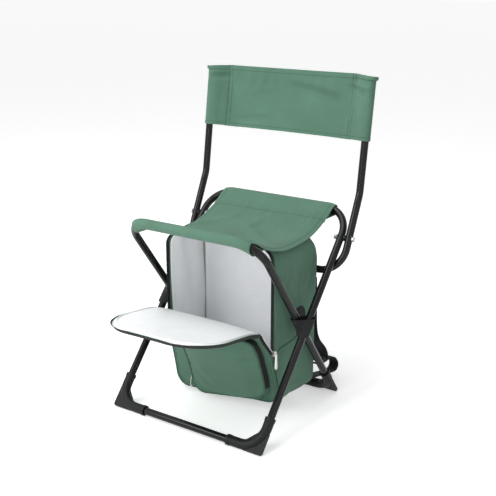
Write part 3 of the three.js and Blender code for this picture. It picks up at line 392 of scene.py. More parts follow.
bolt = leg_point(0, bolt_reach, outer_lean)
lower_way = np.array((0, math.sin(lower_back_lean), math.cos(lower_back_lean)))
upper_way = np.array((0, math.sin(upper_back_lean), math.cos(upper_back_lean)))
kink = bolt + lower_way * lower_post
post_top = kink + upper_way * upper_post
kink_run = kink_radius * math.tan((lower_back_lean - upper_back_lean) / 2)
socket = bolt + lower_way * (lower_post - kink_run - seam_gap)
crossbar = bolt - lower_way * crossbar_drop
half_back = back_width / 2
across = np.array((1, 0, 0))
hoop = [socket - across * half_back, crossbar - across * half_back,
        crossbar + across * half_back, socket + across * half_back]
enamelled_tube("back_hoop", bent_line(hoop, [crossbar_bend] * 2), "back_frame",
               "back_lower_tube")
for word, side in both_sides:
    post = [p + across * side * half_back for p in (socket + lower_way * seam_gap, kink, post_top)]
    enamelled_tube(f"back_upright_{word}", bent_line(post, [kink_radius]), "back_frame",
                   f"back_post_{word}")

# Plastic and zinc-plated fittings
# The feet are soft moulded sleeves with a fin in the corner, and caps, washers and spacers are of
# the same plastic, the spring buttons black. Rivets, bolts and nuts are zinc-plated steel.
plastic_grey = (0.0065, 0.0068, 0.0073, 1)
zinc_grey = (0.55, 0.56, 0.57, 1)

plastic = worn_material(
    "dark_plastic", plastic_grey, "Noise", dict(Scale=55.0, Detail=6.0, Roughness=0.7),
    shades=((0.3, 1), (0.75, 1.6)), roughness=((0.3, 0.42), (0.75, 0.6)),
    relief=0.0001, grain=dict(Scale=1400.0, Detail=3.0), Specular_IOR_Level=0.22)
zinc = worn_material(
    "zinc", zinc_grey, "Voronoi", dict(Scale=700.0), shades=((0.0, 0.8), (0.6, 1)),
    roughness=((0.0, 0.26), (0.7, 0.42)), Metallic=1)


def painted(node, material):
    """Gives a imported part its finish."""
    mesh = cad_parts[node].data
    mesh.materials.clear()
    mesh.materials.append(material)


for word, _ in both_sides:
    for stem in ("pivot_washer", "post_cap", "post_button", "back_spacer", "ladder_lock"):
        painted(f"{stem}_{word}", plastic)
    for stem in ("pivot_rivet", "back_bolt", "back_nut"):
        painted(f"{stem}_{word}", zinc)

foot_wall, collar_rise, collar_length = 0.0025, 0.0008, 0.007
foot_up_leg, foot_up_bar = 0.066, 0.075
fin_half, fin_round, fin_edge = 0.003, 0.006, 0.0012
collar_shares = (0, 0.15, 0.85, 1)
fin_round_steps, fin_sharp, foot_sharp = 6, 1.2, math.radians(40)


def shape_mesh(name, shape):
    """A new mesh of a shape, which is then freed."""
    mesh = bpy.data.meshes.new(name)
    shape.to_mesh(mesh)
    shape.free()
    return mesh


def foot_piece(side, body, width, reach, lean, node):
    """A sleeve with a collar at each end, round a tube's bend, and the fin outside the bend."""
    half, outside = width / 2, tube_radius + foot_wall
    line = bent_line([leg_point(side * x, along, lean) for x, along in (
        (half, -reach + foot_up_leg), (half, -reach), (half - foot_up_bar, -reach))], [foot_bend])
    steps = np.linalg.norm(np.diff(line, axis=0), axis=1)
    collars = []
    for end in (line, line[::-1]):
        way = unit(end[1] - end[0])
        collars.append([end[0] + way * collar_length * share for share in collar_shares])
    sleeve = grown(lines_object("foot_sleeve", [line]), tube_tree, radius=outside,
                   finish=plastic)
    parts = [sleeve]
    for collar in collars:
        parts.append(grown(lines_object("foot_collar", [collar]), tube_tree,
                           radius=outside + collar_rise, finish=plastic))
    # The fin fills the square corner between the floor, the leg's line and the bend.
    x_edge, low = half + outside, -reach - outside
    outline = [(x_edge - foot_bend, low), (x_edge - fin_round, low)]
    for step in range(1, fin_round_steps):
        turn = math.radians(90) * step / fin_round_steps
        outline.append((x_edge - fin_round * (1 - math.sin(turn)),
                        low + fin_round * (1 - math.cos(turn))))
    outline += [(x_edge, low + fin_round), (x_edge, low + foot_bend),
                (half, -reach + foot_bend), (half - foot_bend, -reach)]
    fin = bmesh.new()
    normal = np.array((0, math.cos(lean), -math.sin(lean)))
    rims = [[fin.verts.new(leg_point(side * x, along, lean) + normal * way * fin_half)
             for x, along in outline] for way in (-1, 1)]
    fin.faces.new(rims[0])
    fin.faces.new(rims[1][::-1])
    for i in range(len(outline)):
        j = (i + 1) % len(outline)
        fin.faces.new((rims[0][j], rims[0][i], rims[1][i], rims[1][j]))
    bmesh.ops.bevel(fin, geom=[e for e in fin.edges if e.calc_face_angle(0) > fin_sharp],
                    offset=fin_edge, segments=2, affect="EDGES")
    bmesh.ops.recalc_face_normals(fin, faces=fin.faces)
    fin_mesh = shape_mesh("foot_fin", fin)
    fin_mesh.materials.append(plastic)
    parts.append(added("foot_fin", fin_mesh))
    for part in parts[1:]:
        union = sleeve.modifiers.new("union", "BOOLEAN")
        union.operation = "UNION"
        union.solver = "EXACT"
        union.object = part
    settled_mesh(sleeve)
    for part in parts[1:]:
        bpy.data.objects.remove(part)
    for vertex in sleeve.data.vertices:
        vertex.co.z = max(vertex.co.z, 0)
    sleeve.name = sleeve.data.name = f"moulded_{node}"
    sleeve.data.set_sharp_from_angle(angle=foot_sharp)
    dressed(sleeve, body, "dark_plastic", node)


for word, side in both_sides:
    foot_piece(side, "outer_frame", outer_width, outer_reach, outer_lean, f"foot_front_{word}")
    foot_piece(side, "inner_frame", inner_width, inner_reach, -inner_lean, f"foot_rear_{word}")

# Seat sling
# One length of green oxford cloth, hemmed along its sides, folded round each seat bar and sewn
# down in two rows, so that it hangs between the bars.
seat_half = 0.146
seat_columns, span_rows, ring_rows, tail_rows = 64, 64, 22, 8
sleeve_out = 0.0026
cloth_thickness = 0.0011
sag_right, sag_middle, sag_left = 0.040, 0.048, 0.052
edge_drop, seam_dip = 0.004, 0.0022
edge_start, edge_fade = 0.112, 0.034
hollow_flatness, hollow_lean = 2.4, 0.1
leave_angle, wrap_angle = 75, 285  # where the cloth leaves a bar, and where its wrap starts
tail_share, tail_under = 0.13, 1.6 * cloth_thickness
hem_width, hem_rise, hem_softness = 0.009, 0.0006, 0.0006
column_spread = 0.94
join_rounds, join_before, join_after = 12, 3, 5
hang_frames = 22
cloth_green = (0.104, 0.221, 0.154, 1)
thread_pitch = 0.00062


def woven_material(name, colour, pitch, relief, sheen, contrast=0.1):
    """Plain-woven cloth: threads from two crossed waves on the cloth's own map, and soft wear."""
    material, tree, shader = blank_material(name)
    weave_map = tree.nodes.new("ShaderNodeUVMap")
    weave_map.uv_map = "weave"
    flat = weave_map.outputs["UV"]
    waves = []
    for direction in ("X", "Y"):
        wave = textured(tree, "Wave", flat, Scale=0.314 / pitch, Distortion=0.6, Detail=1.0,
                        bands_direction=direction)
        set_inputs(wave, Detail_Scale=0.3)
        waves.append(wave.outputs["Fac"])
    threads = calculated(tree, "MULTIPLY", *waves)
    fading = textured(tree, "Noise", on_object(tree), Scale=14.0, Detail=5.0, Roughness=0.55)
    slubs = textured(tree, "Noise", flat, Scale=420.0, Detail=3.0)
    faded = graded(tree, fading.outputs["Fac"], [
        (0.35, tinted(colour, 0.93)), (0.68, tinted(colour, 1.06))])
    speck = calculated(tree, "MULTIPLY", threads, slubs.outputs["Fac"])
    grain = calculated(tree, "MULTIPLY_ADD", speck, 2 * contrast, 1 - contrast)
    shade = tree.nodes.new("ShaderNodeMix")
    shade.data_type = "RGBA"
    shade.blend_type = "MULTIPLY"
    set_inputs(shade, Factor=1)
    wired(tree, (faded, shade.inputs["A"]), (grain, shade.inputs["B"]),
          (shade.outputs["Result"], shader.inputs["Base Color"]))
    set_inputs(shader, Roughness=0.82, Specular_IOR_Level=0.3, Sheen_Weight=sheen,
               Sheen_Roughness=0.45)
    bumped(tree, threads, relief, shader, 0.8)
    return material


oxford = woven_material("green_cloth", cloth_green, thread_pitch, 0.00022, 0.12)


def cloth_mesh(name, points, material, ring=False, outwards=1):
    """A grid of cloth, rows by columns, with its own flat lengths as its map, in metres."""
    rows, columns = points.shape[:2]
    wide = columns if ring else columns - 1
    faces, corners = [], []
    for row in range(rows - 1):
        for column in range(wide):
            ahead = (column + 1) % columns
            face = [(row, column), (row, ahead), (row + 1, ahead), (row + 1, column)]
            flat = [(row, column), (row, column + 1), (row + 1, column + 1), (row + 1, column)]
            faces.append([r * columns + c for r, c in face[::outwards]])
            corners += flat[::outwards]
    mesh = bpy.data.meshes.new(name)
    mesh.from_pydata(points.reshape(-1, 3), [], faces)
    loop = np.concatenate([points, points[:, :1]], axis=1) if ring else points
    along = np.linalg.norm(np.diff(loop, axis=1), axis=2).mean(axis=0)
    down = np.linalg.norm(np.diff(points, axis=0), axis=2).mean(axis=1)
    u, v = np.concatenate([[0], np.cumsum(along)]), np.concatenate([[0], np.cumsum(down)])
    layer = mesh.uv_layers.new(name="weave")
    for entry, (row, column) in zip(layer.data, corners):
        entry.uv = (u[column], v[row])
    mesh.materials.append(material)
    mesh.shade_smooth()
    return added(name, mesh)


def thickened(piece, thickness, offset=-1):
    """Gives a sheet its wall and keeps the result."""
    wall = piece.modifiers.new("wall", "SOLIDIFY")
    wall.thickness = thickness
    wall.offset = offset
    wall.use_even_offset = False
    return settled_mesh(piece)


def hung(points, held, spare, weight, cap, ring=False, push=0.0):
    """Lets a grid of cloth settle by simulation, held where held is 1, and returns its points."""
    piece = cloth_mesh("cloth_on_trial", points, oxford, ring)
    group = piece.vertex_groups.new(name="held")
    for index, weight_here in enumerate(held.ravel()):
        if weight_here > 0:
            group.add([index], float(weight_here), "REPLACE")
    modifier = piece.modifiers.new("cloth", "CLOTH")
    cloth = modifier.settings
    cloth.quality = 6
    cloth.mass = 0.15
    cloth.tension_stiffness = cloth.compression_stiffness = 25
    cloth.shear_stiffness = 12
    cloth.bending_stiffness = 0.8
    cloth.vertex_group_mass = "held"
    cloth.pin_stiffness = 1
    cloth.shrink_min = -spare
    cloth.effector_weights.gravity = weight
    if push:
        cloth.use_pressure = True
        cloth.uniform_pressure_force = push
    modifier.collision_settings.use_collision = False
    modifier.point_cache.frame_end = hang_frames
    scene = bpy.context.scene
    for step in range(1, hang_frames + 1):
        scene.frame_set(step)
    graph = bpy.context.evaluated_depsgraph_get()
    settled = piece.evaluated_get(graph).to_mesh()
    found = np.empty(len(settled.vertices) * 3)
    settled.vertices.foreach_get("co", found)
    piece.evaluated_get(graph).to_mesh_clear()
    moved = found.reshape(points.shape) - points
    far = np.linalg.norm(moved, axis=2, keepdims=True)
    mesh = piece.data
    bpy.data.objects.remove(piece)
    bpy.data.meshes.remove(mesh)
    scene.frame_set(1)
    return points + moved * np.minimum(1, cap / np.maximum(far, 1e-9)) * (1 - held[..., None])


def bar_ring(x, width, reach, lean, out, angles):
    """The cloth's path round a seat bar, in the plane at one x, also where the bar bends."""
    past = max(0, abs(x) - (width / 2 - top_bend))
    centre = math.sqrt(top_bend ** 2 - past ** 2)
    reach_here = reach - top_bend + centre
    middle = np.array((reach_here * math.sin(lean), reach_here * math.cos(lean)))
    path = []
    for angle in np.radians(angles):
        turned = angle - (math.pi / 2 - lean)
        span = (tube_radius + out) * math.cos(turned)
        longer = math.sqrt((top_bend + span) ** 2 - past ** 2) - centre
        wide = (tube_radius + out) * math.sin(turned)
        path.append((x, set_back + middle[0] + longer * math.sin(lean) - wide * math.cos(lean),
                     pivot_height + middle[1] + longer * math.cos(lean)
                     + wide * math.sin(lean)))
    return np.array(path)


def hollow(place):
    """How the seat's hollow deepens along the span, as a share."""
    return (1 - np.abs(2 * place - 1) ** hollow_flatness) * (1.0 - hollow_lean * place)


def seat_sag(x):
    """The depth of the hollow, which differs a little between the seat's two sides."""
    share = x / seat_half
    edge = sag_right if share > 0 else sag_left
    return sag_middle + (edge - sag_middle) * share ** 2


def seat_line(x, places, drop=0.0):
    """Points along the seat's span at one x."""
    first = bar_ring(x, inner_width, inner_reach, -inner_lean, sleeve_out, [leave_angle])[0]
    last = bar_ring(x, outer_width, outer_reach, outer_lean, sleeve_out, [180 - leave_angle])[0]
    places = np.asarray(places)[:, None]
    line = first + (last - first) * places
    line[:, 2] -= seat_sag(x) * hollow(places[:, 0]) + drop
    return line


def seat_path(x):
    """The cloth's whole path at one x, from its front seam round both bars to its rear seam."""
    tail = np.linspace(0, 1, tail_rows)[:, None]
    front = bar_ring(x, inner_width, inner_reach, -inner_lean, sleeve_out,
                     np.linspace(wrap_angle, leave_angle, ring_rows))
    rear = bar_ring(x, outer_width, outer_reach, outer_lean, sleeve_out,
                    np.linspace(180 - leave_angle, 180 - wrap_angle, ring_rows))
    span = seat_line(x, np.linspace(0, 1, span_rows + 2)[1:-1])
    front_seam, rear_seam = seat_line(x, [tail_share, 1 - tail_share], tail_under)
    front_tail = front_seam + (front[0] - front_seam) * tail[:-1]
    rear_tail = rear[-1] + (rear_seam - rear[-1]) * tail[1:]
    return np.concatenate([front_tail, front, span, rear, rear_tail])


def bunched(count, share=1):
    """Places from -1 to 1 that stand closer together towards both ends."""
    return np.sin(np.linspace(-math.pi / 2, math.pi / 2, count) * share)


def growing(values, start, fade):
    """Grows from 0, where a value passes the start, to 1 over the fade."""
    return np.clip((values - start) / fade, 0, 1)


def falling(values, softness):
    """Falls softly from 1 to 0 where a value passes 0."""
    return 1 / (1 + np.exp(values / softness))


def smoothed(points, rounds, rows):
    """Evens out a grid along its rows' direction, over the given rows."""
    for _ in range(rounds):
        middle = points[rows.start - 1:rows.stop - 1] + points[rows.start + 1:rows.stop + 1]
        points[rows] = 0.5 * points[rows] + 0.25 * middle
    return points


seat_x = seat_half * bunched(seat_columns, column_spread)
seat_x *= seat_half / seat_x[-1]
seat_points = np.stack([seat_path(x) for x in seat_x], axis=1)
first_span = tail_rows - 1 + ring_rows
last_span = first_span + span_rows
for join in (first_span, last_span):
    seat_points = smoothed(seat_points, join_rounds, slice(join - join_before, join + join_after))
row_place = (np.arange(len(seat_points)) - first_span) / span_rows
held_rows = np.clip(1 - 14 * np.minimum(row_place, 1 - row_place), 0, 1)
held_rows[(row_place < 0) | (row_place > 1)] = 1
seat_points = hung(seat_points, np.repeat(held_rows[:, None], seat_columns, axis=1),
                   spare=0.014, weight=0.6, cap=0.007)


def soft_crease(points, start, end, width, depth):
    """Lifts a long soft fold in a nearly level sheet, between two points seen from above."""
    start, end = np.array(start), np.array(end)
    way = end - start
    flat = points[..., :2] - start
    share = np.clip((flat @ way) / (way @ way), 0, 1)
    off = np.linalg.norm(flat - share[..., None] * way, axis=-1)
    points[..., 2] += depth * np.exp(-(off / width) ** 2) * np.sin(math.pi * share) ** 0.7
    return points


seat_creases = (  # where each soft fold starts and ends, its width and its depth
    ((-0.16, 0.040), (-0.05, 0.108), 0.011, 0.0056),
    ((-0.11, 0.102), (0.02, 0.096), 0.010, 0.0050),
    ((-0.03, 0.104), (0.11, -0.010), 0.011, 0.0064),
    ((-0.05, 0.030), (0.13, -0.065), 0.010, 0.0056),
    ((-0.13, -0.03), (0.06, -0.09), 0.010, -0.0030),
    ((0.00, -0.115), (0.14, -0.075), 0.008, 0.0034),
    ((0.02, -0.09), (0.14, -0.03), 0.009, -0.0028))
seat_span = slice(first_span + 2, last_span - 2)
for start, end, width, depth in seat_creases:
    seat_points[seat_span] = soft_crease(seat_points[seat_span], start, end, width, depth)
right_edge = growing(seat_x, edge_start, edge_fade) ** 2
seat_points[seat_span, :, 2] -= edge_drop * right_edge * hollow(row_place[seat_span])[:, None]
seam_rows = [int(first_span + span_rows * share) for share in (tail_share, 1 - tail_share)]
for row, onward in zip(seam_rows, (-1, 1)):
    seat_points[row, :, 2] -= seam_dip
    seat_points[row + onward, :, 2] += seam_dip / 3
edge_in = seat_half - np.abs(seat_x)
hem = falling(edge_in - hem_width, hem_softness)
seat_points[seat_span, :, 2] += hem_rise * hem
seat = thickened(cloth_mesh("seat_sling", seat_points, oxford, outwards=-1), cloth_thickness)
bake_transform(seat)
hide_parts("seat_cover")

# Stitching
# Each seam shows as a row of short lockstitches. The green thread is much darker than its cloth,
# partly its own colour and partly painted shade of the seam's groove. They grow along the seam
# from one small ball, drawn out to a stitch's length.
stitch_pitch, stitch_length, stitch_thickness = 0.0042, 0.0037, 0.0010
stitch_lift = 0.0013
# The green thread's colour holds painted seam shade as well as the thread's own colour.
thread_green_and_seam_shade = (0.028, 0.072, 0.047, 1)
thread_black = (0.03, 0.031, 0.034, 1)
thread_grain, thread_relief, colour_spread = 2200.0, 0.00005, 0.15

stitch_tree, stitch_in, stitch_out = new_tree("stitch_row", [
    ("Pitch", "Float", stitch_pitch), ("Size", "Vector", (1, 1, 1)), ("Finish", "Material", None)])
_, stitch_marks = chain(stitch_tree, stitch_in.outputs["Geometry"], "MeshToCurve",
                        "ResampleCurve")
stitch_marks.mode = "LENGTH"
stitch_set, _, _, stitch_paint = chain(
    stitch_tree, stitch_marks.outputs[0], "InstanceOnPoints", "RealizeInstances",
    "SetShadeSmooth", "SetMaterial")
stitch_ball = stitch_tree.nodes.new("GeometryNodeMeshUVSphere")
set_inputs(stitch_ball, Segments=6, Rings=4, Radius=0.5)
stitch_way = stitch_tree.nodes.new("GeometryNodeInputTangent")
stitch_turn = stitch_tree.nodes.new("FunctionNodeAlignRotationToVector")
stitch_turn.axis = "X"
wired(stitch_tree,
      (stitch_in.outputs["Pitch"], stitch_marks.inputs["Length"]),
      (stitch_ball.outputs["Mesh"], stitch_set.inputs["Instance"]),
      (stitch_way.outputs[0], stitch_turn.inputs["Vector"]),
      (stitch_turn.outputs[0], stitch_set.inputs["Rotation"]),
      (stitch_in.outputs["Size"], stitch_set.inputs["Scale"]),
      (stitch_in.outputs["Finish"], stitch_paint.inputs["Material"]),
      (stitch_paint.outputs[0], stitch_out.inputs["Geometry"]))


def plain_material(name, colour, roughness, grain, relief):
    """A finish of one colour with a fine grain, for thread, piping and moulded trim."""
    material, tree, shader = blank_material(name)
    fine = textured(tree, "Noise", on_object(tree), Scale=grain, Detail=4.0).outputs["Fac"]
    stops = ((0.3, tinted(colour, 1 - colour_spread)), (0.7, tinted(colour, 1 + colour_spread)))
    wired(tree, (graded(tree, fine, stops), shader.inputs["Base Color"]))
    set_inputs(shader, Roughness=roughness, Specular_IOR_Level=0.2)
    bumped(tree, fine, relief, shader)
    return material


# The green thread's material carries the painted shade of the seams.
green_thread = plain_material("green_thread", thread_green_and_seam_shade, 0.7, thread_grain, thread_relief)
black_thread = plain_material("black_thread", thread_black, 0.6, thread_grain, thread_relief)


def stitch_rows(name, lines, body, slot, thread):
    """Rows of stitches along lines that lie on a cloth's face."""
    size = (stitch_length, stitch_thickness, stitch_thickness)
    piece = grown(lines_object(name, lines), stitch_tree, size=size, finish=thread)
    return dressed(piece, body, slot)


hem_columns = [int(np.argmin(np.abs(seat_x - side * (seat_half - hem_width))))
               for side in (-1, 1)]
seat_lines = [seat_points[row] for row in seam_rows]
seat_lines += [seat_points[first_span:last_span, column] for column in hem_columns]
seat_stitches = stitch_rows("seat_stitches", [line + (0, 0, stitch_lift) for line in seat_lines],
                            None, "green_cloth", green_thread)
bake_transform(seat_stitches)

# Backrest cover
# A wide band of the same cloth, doubled: a flat sleeve over each post, sewn along two upright
# seams, and a slack panel between them that lies a little behind the posts.
cover_height, cover_rise = 0.1294, 0.0056
post_out = 0.0106
cover_seam = 0.0425
cover_setback, cover_sag, cover_half_wall = 0.012, 0.004, 0.0016
cover_rows, cover_span = 56, 60
top_hem, bottom_hem, top_spread = 0.0080, 0.0075, 0.0042
hem_band, hem_rows = 0.002, 12
top_swell, low_swell, top_softness, low_softness = 0.0016, 0.0007, 0.0005, 0.0006
hem_crest, hem_droop, crest_depth, crest_fade = 0.0026, 0.0022, 0.012, 0.004
cover_wall, cover_sharp = 0.0009, math.radians(60)
held_share, held_fade, held_top, held_top_most = 0.7, 0.012, 0.006, 0.9
sleeve_columns, edge_turns = 14, 13
post_room, groove_depth, groove_width = 0.0004, 0.0007, 0.0016
cover_seam_apart, hem_stitch_drop = 0.0035, 0.001
over_back = np.array((0, math.cos(upper_back_lean), -math.sin(upper_back_lean)))


def cover_loop(spread):
    """One closed section of the cover, as x and depth, from its left edge round and back."""
    seam_x = half_back - cover_seam
    sleeve_x = np.linspace(half_back, seam_x, sleeve_columns, endpoint=False)
    x = np.concatenate([-sleeve_x, np.linspace(-seam_x, seam_x, cover_span), sleeve_x[::-1]])
    share = np.clip((half_back - np.abs(x)) / cover_seam, 0, 1)
    eased = share ** 1.25
    centre = cover_setback * eased ** 2 * (3 - 2 * eased)
    middle = np.clip(1 - (np.abs(x) / seam_x) ** 2, 0, 1)
    centre = centre + cover_sag * middle
    half = cover_half_wall + (post_out - cover_half_wall) * np.cos(share * math.pi / 2) ** 1.2
    turns = np.radians(np.linspace(-90, 90, edge_turns)[1:-1])
    edge = [(half_back + (post_out + spread) * np.cos(t), post_out * np.sin(t)) for t in turns]
    front = np.stack([x, centre - half], axis=1)
    back = np.stack([x, centre + half], axis=1)[::-1]
    right, left = edge[:6], [(-px, py) for px, py in edge[:5][::-1]]
    front = np.concatenate([left, front, right])
    right, left = edge[6:], [(-px, py) for px, py in edge[5:][::-1]]
    back = np.concatenate([right, back, left])
    return front, back


low_band, top_band = -cover_height + bottom_hem + hem_band, cover_rise - top_hem - hem_band
cover_levels = np.concatenate([
    np.linspace(-cover_height, low_band, hem_rows, endpoint=False),
    np.linspace(low_band, top_band, cover_rows - 2 * hem_rows, endpoint=False),
    np.linspace(top_band, cover_rise, hem_rows)])
cover_points = []
for level in cover_levels:
    near_top = falling(cover_rise - top_hem - level, top_softness)
    near_low = falling(level + cover_height - bottom_hem, low_softness)
    front, back = cover_loop(top_spread * near_top)
    loop = np.concatenate([front, back])
    outward = np.where(np.arange(len(loop)) < len(front), -1, 1)
    loop[:, 1] += outward * (top_swell * near_top + low_swell * near_low)
    cover_points.append([post_top + across * x + over_back * y + upper_way * level
                         for x, y in loop])
cover_points = np.array(cover_points)
cover_count = cover_points.shape[1]
cover_x = cover_points[0, :, 0]
held = growing(np.abs(cover_x), half_back - cover_seam * held_share, held_fade)
held = np.repeat(held[None], len(cover_points), axis=0)
near_rim = 1 - (cover_rise - cover_levels)[:, None] / held_top
held = np.maximum(held, np.clip(near_rim, 0, held_top_most))
cover_points = hung(cover_points, held, spare=0.012, weight=0.25, cap=0.0045, ring=True)


def pressed(points, start, end, width, depth):
    """Presses a long soft fold into the cover between two points, each an x and a level."""
    start, end = (post_top + across * x + upper_way * level for x, level in (start, end))
    way = end - start
    off = points - start
    share = np.clip((off @ way) / (way @ way), 0, 1)
    away = off - share[..., None] * way
    away = np.linalg.norm(away - (away @ over_back)[..., None] * over_back, axis=-1)
    lift = depth * np.exp(-(away / width) ** 2) * np.sin(math.pi * (0.06 + 0.88 * share)) ** 0.6
    return points + lift[..., None] * over_back


cover_creases = (  # where each soft fold starts and ends, its width and its depth
    ((-0.203, -0.012), (-0.158, -0.006), 0.005, -0.0030),
    ((-0.203, -0.020), (-0.160, -0.016), 0.006, 0.0038),
    ((0.158, -0.012), (0.208, -0.024), 0.0045, -0.0038),
    ((0.158, -0.022), (0.205, -0.040), 0.007, 0.0044),
    ((0.160, -0.050), (0.190, -0.110), 0.008, 0.0020),
    ((0.000, -0.012), (0.135, -0.034), 0.008, -0.0028),
    ((0.010, -0.030), (0.130, -0.056), 0.012, 0.0030),
    ((-0.150, -0.116), (-0.050, -0.104), 0.008, 0.0030),
    ((-0.110, -0.046), (-0.020, -0.030), 0.010, -0.0018),
    ((-0.130, -0.062), (-0.090, -0.100), 0.012, 0.0018))
front_half_loop = np.arange(cover_count) < cover_count // 2
for start, end, width, depth in cover_creases:
    shaped = pressed(cover_points, start, end, width, depth)
    cover_points[:, front_half_loop] = shaped[:, front_half_loop]
top_share = falling(cover_rise - crest_depth - cover_levels, crest_fade)
end_share = growing(np.abs(cover_x), half_back - cover_seam, cover_seam)
cover_points += ((hem_crest * (1 - end_share) - hem_droop * end_share)
                 * top_share[:, None])[..., None] * upper_way
for side in (-1, 1):
    off = cover_points - (post_top + across * side * half_back)
    wide, deep = off @ across, off @ over_back
    near = np.hypot(wide, deep)
    grow = np.maximum(0, post_out - post_room - near) / np.maximum(near, 0.0001)
    cover_points += (wide * grow)[..., None] * across + (deep * grow)[..., None] * over_back
for side in (-1, 1):
    near_seam = np.abs(side * cover_x - (half_back - cover_seam))
    groove = groove_depth * np.exp(-(near_seam / groove_width) ** 2)
    cover_points += np.where(front_half_loop, groove, -groove)[None, :, None] * over_back


def closed(piece, *faces):
    """Closes a piece of cloth with more faces, each given by its vertices' numbers."""
    shape = bmesh.new()
    shape.from_mesh(piece.data)
    shape.verts.ensure_lookup_table()
    for face in faces:
        shape.faces.new([shape.verts[number] for number in face]).smooth = True
    bmesh.ops.recalc_face_normals(shape, faces=shape.faces)
    shape.to_mesh(piece.data)
    shape.free()
    return piece


def last_ring(points):
    """The numbers of the vertices in a grid's last ring."""
    rows, columns = points.shape[:2]
    return range((rows - 1) * columns, rows * columns)


top = last_ring(cover_points)
top_lid = [(top[-1 - k], top[-2 - k], top[k + 1], top[k]) for k in range(cover_count // 2 - 1)]
cover = closed(cloth_mesh("backrest_band", cover_points, oxford, ring=True), *top_lid)
cover = thickened(cover, cover_wall)
cover.data.set_sharp_from_angle(angle=cover_sharp)
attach(cover, "back_frame")
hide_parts("backrest_cover")
seam_columns = []
for side in (-1, 1):
    for off in (-cover_seam_apart, cover_seam_apart):
        wanted = side * (half_back - cover_seam) + off
        near = np.abs(cover_x - wanted)
        seam_columns += [int(np.argmin(np.where(front_half_loop, near, 9))),
                         int(np.argmin(np.where(front_half_loop, 9, near)))]
hem_levels = [int(np.argmin(np.abs(cover_levels - level)))
              for level in (cover_rise - top_hem - hem_stitch_drop, -cover_height + bottom_hem)]
cover_lines = [cover_points[1:-1, column] for column in seam_columns]
cover_lines += [np.concatenate([cover_points[row], cover_points[row, :1]])
                for row in hem_levels]
stitch_rows("cover_stitches", cover_lines, "back_frame", "green_cloth", green_thread)

# Cooler bag
# One soft shell of foam-backed cloth hangs from the seat: its sides, top, back and bottom run
# round in one loft, open to the front, and spread a little towards the back.
bag_half, bag_flare = 0.137, 0.013
bag_front, bag_bottom = -0.050, 0.023
bag_back, skin_depth = 0.0895, 0.0043
bag_skin_back = bag_back + skin_depth
top_round, low_round, back_round = 0.030, 0.030, 0.030
bag_tilt = math.radians(5.5)
bag_bulge, bottom_sag = 0.003, 0.004
panel_thickness, panel_room = 0.004, 0.0006
opening_bottom = 0.160
crest_height, crest_reach, crest_half = 0.217, 0.100, 0.131
crest_drop = 0.004
toe_y = bag_front + 0.022
cap_share, cap_swell, cap_swell_top, cap_swell_fade = 0.985, 0.003, 0.285, 0.04
hold_height, hold_fade = 0.33, 0.02
under_seat = 0.0044
side_steps, level_steps, depth_steps, cap_steps = 40, 20, 44, 12

front_bar = np.array((-inner_reach * math.sin(inner_lean),
                      pivot_height + inner_reach * math.cos(inner_lean)))
rear_bar = np.array((outer_reach * math.sin(outer_lean),
                     pivot_height + outer_reach * math.cos(outer_lean)))
edge_shares = ((0, 0.2, 0.4, 0.63, 0.7, 0.9, 1), (0, 0.1, 0.22, 0.38, 0.44, 0.86, 1))
middle_shares = ((0, 0.2, 0.4, 0.63, 0.9, 1), (0, 0.08, 0.28, 0.62, 0.94, 1))


def round_in(distance, radius):
    """How far an edge comes in where its round corner starts."""
    past = min(radius, max(0.0, radius - distance))
    return radius - math.sqrt(radius ** 2 - past ** 2)


def eased_table(table, share):
    """Reads a table of shares with its corners evened out."""
    return sum(np.interp(share + off, *table) for off in (-0.05, -0.025, 0, 0.025, 0.05)) / 5


def front_y(z, edge):
    """How far the leaning front panel stands out at one height, from its middle to its edge."""
    share = min(1.0, max(0.0, (z - bag_bottom) / (crest_height - bag_bottom)))
    middle, side = eased_table(middle_shares, share), eased_table(edge_shares, share)
    return toe_y + (-crest_reach - toe_y) * (middle + (side - middle) * edge)


def roof_at(x, y, inset=0.0):
    """The underside of the seat's hollow, less the bag's clearance, rounded down at the back."""
    place = (y - front_bar[0]) / (rear_bar[0] - front_bar[0])
    line = front_bar[1] + tube_radius + (rear_bar[1] - front_bar[1]) * place
    under = line - seat_sag(x) * hollow(place) - under_seat
    return under - inset - round_in(bag_back - inset - y, back_round - inset)


def floor_at(x):
    """The bag's bottom, which hangs lower on the sitter's right."""
    return bag_bottom + math.tan(bag_tilt) * x


def side_line(side, v, y, inset=0.0):
    """One side of the bag's outline at one depth, from its bottom corner up to its top one."""
    half = bag_half + bag_flare * (y - bag_front) / (bag_back - bag_front) - inset
    low_radius, top_radius = low_round - inset, top_round - inset
    low = floor_at(side * (half - low_radius)) + inset
    top = roof_at(side * (half - top_radius), y, inset)
    low_arc, top_arc = low_radius * math.pi / 2, top_radius * math.pi / 2
    straight = top - low - low_radius - top_radius
    place = v * (low_arc + straight + top_arc)
    if place < low_arc:
        angle = place / low_radius
        return (side * (half - low_radius * (1 - math.sin(angle))),
                low + low_radius * (1 - math.cos(angle)))
    if place < low_arc + straight:
        return side * half, low + low_radius + place - low_arc
    angle = (place - low_arc - straight) / top_radius
    return (side * (half - top_radius * (1 - math.cos(angle))),
            top - top_radius * (1 - math.sin(angle)))


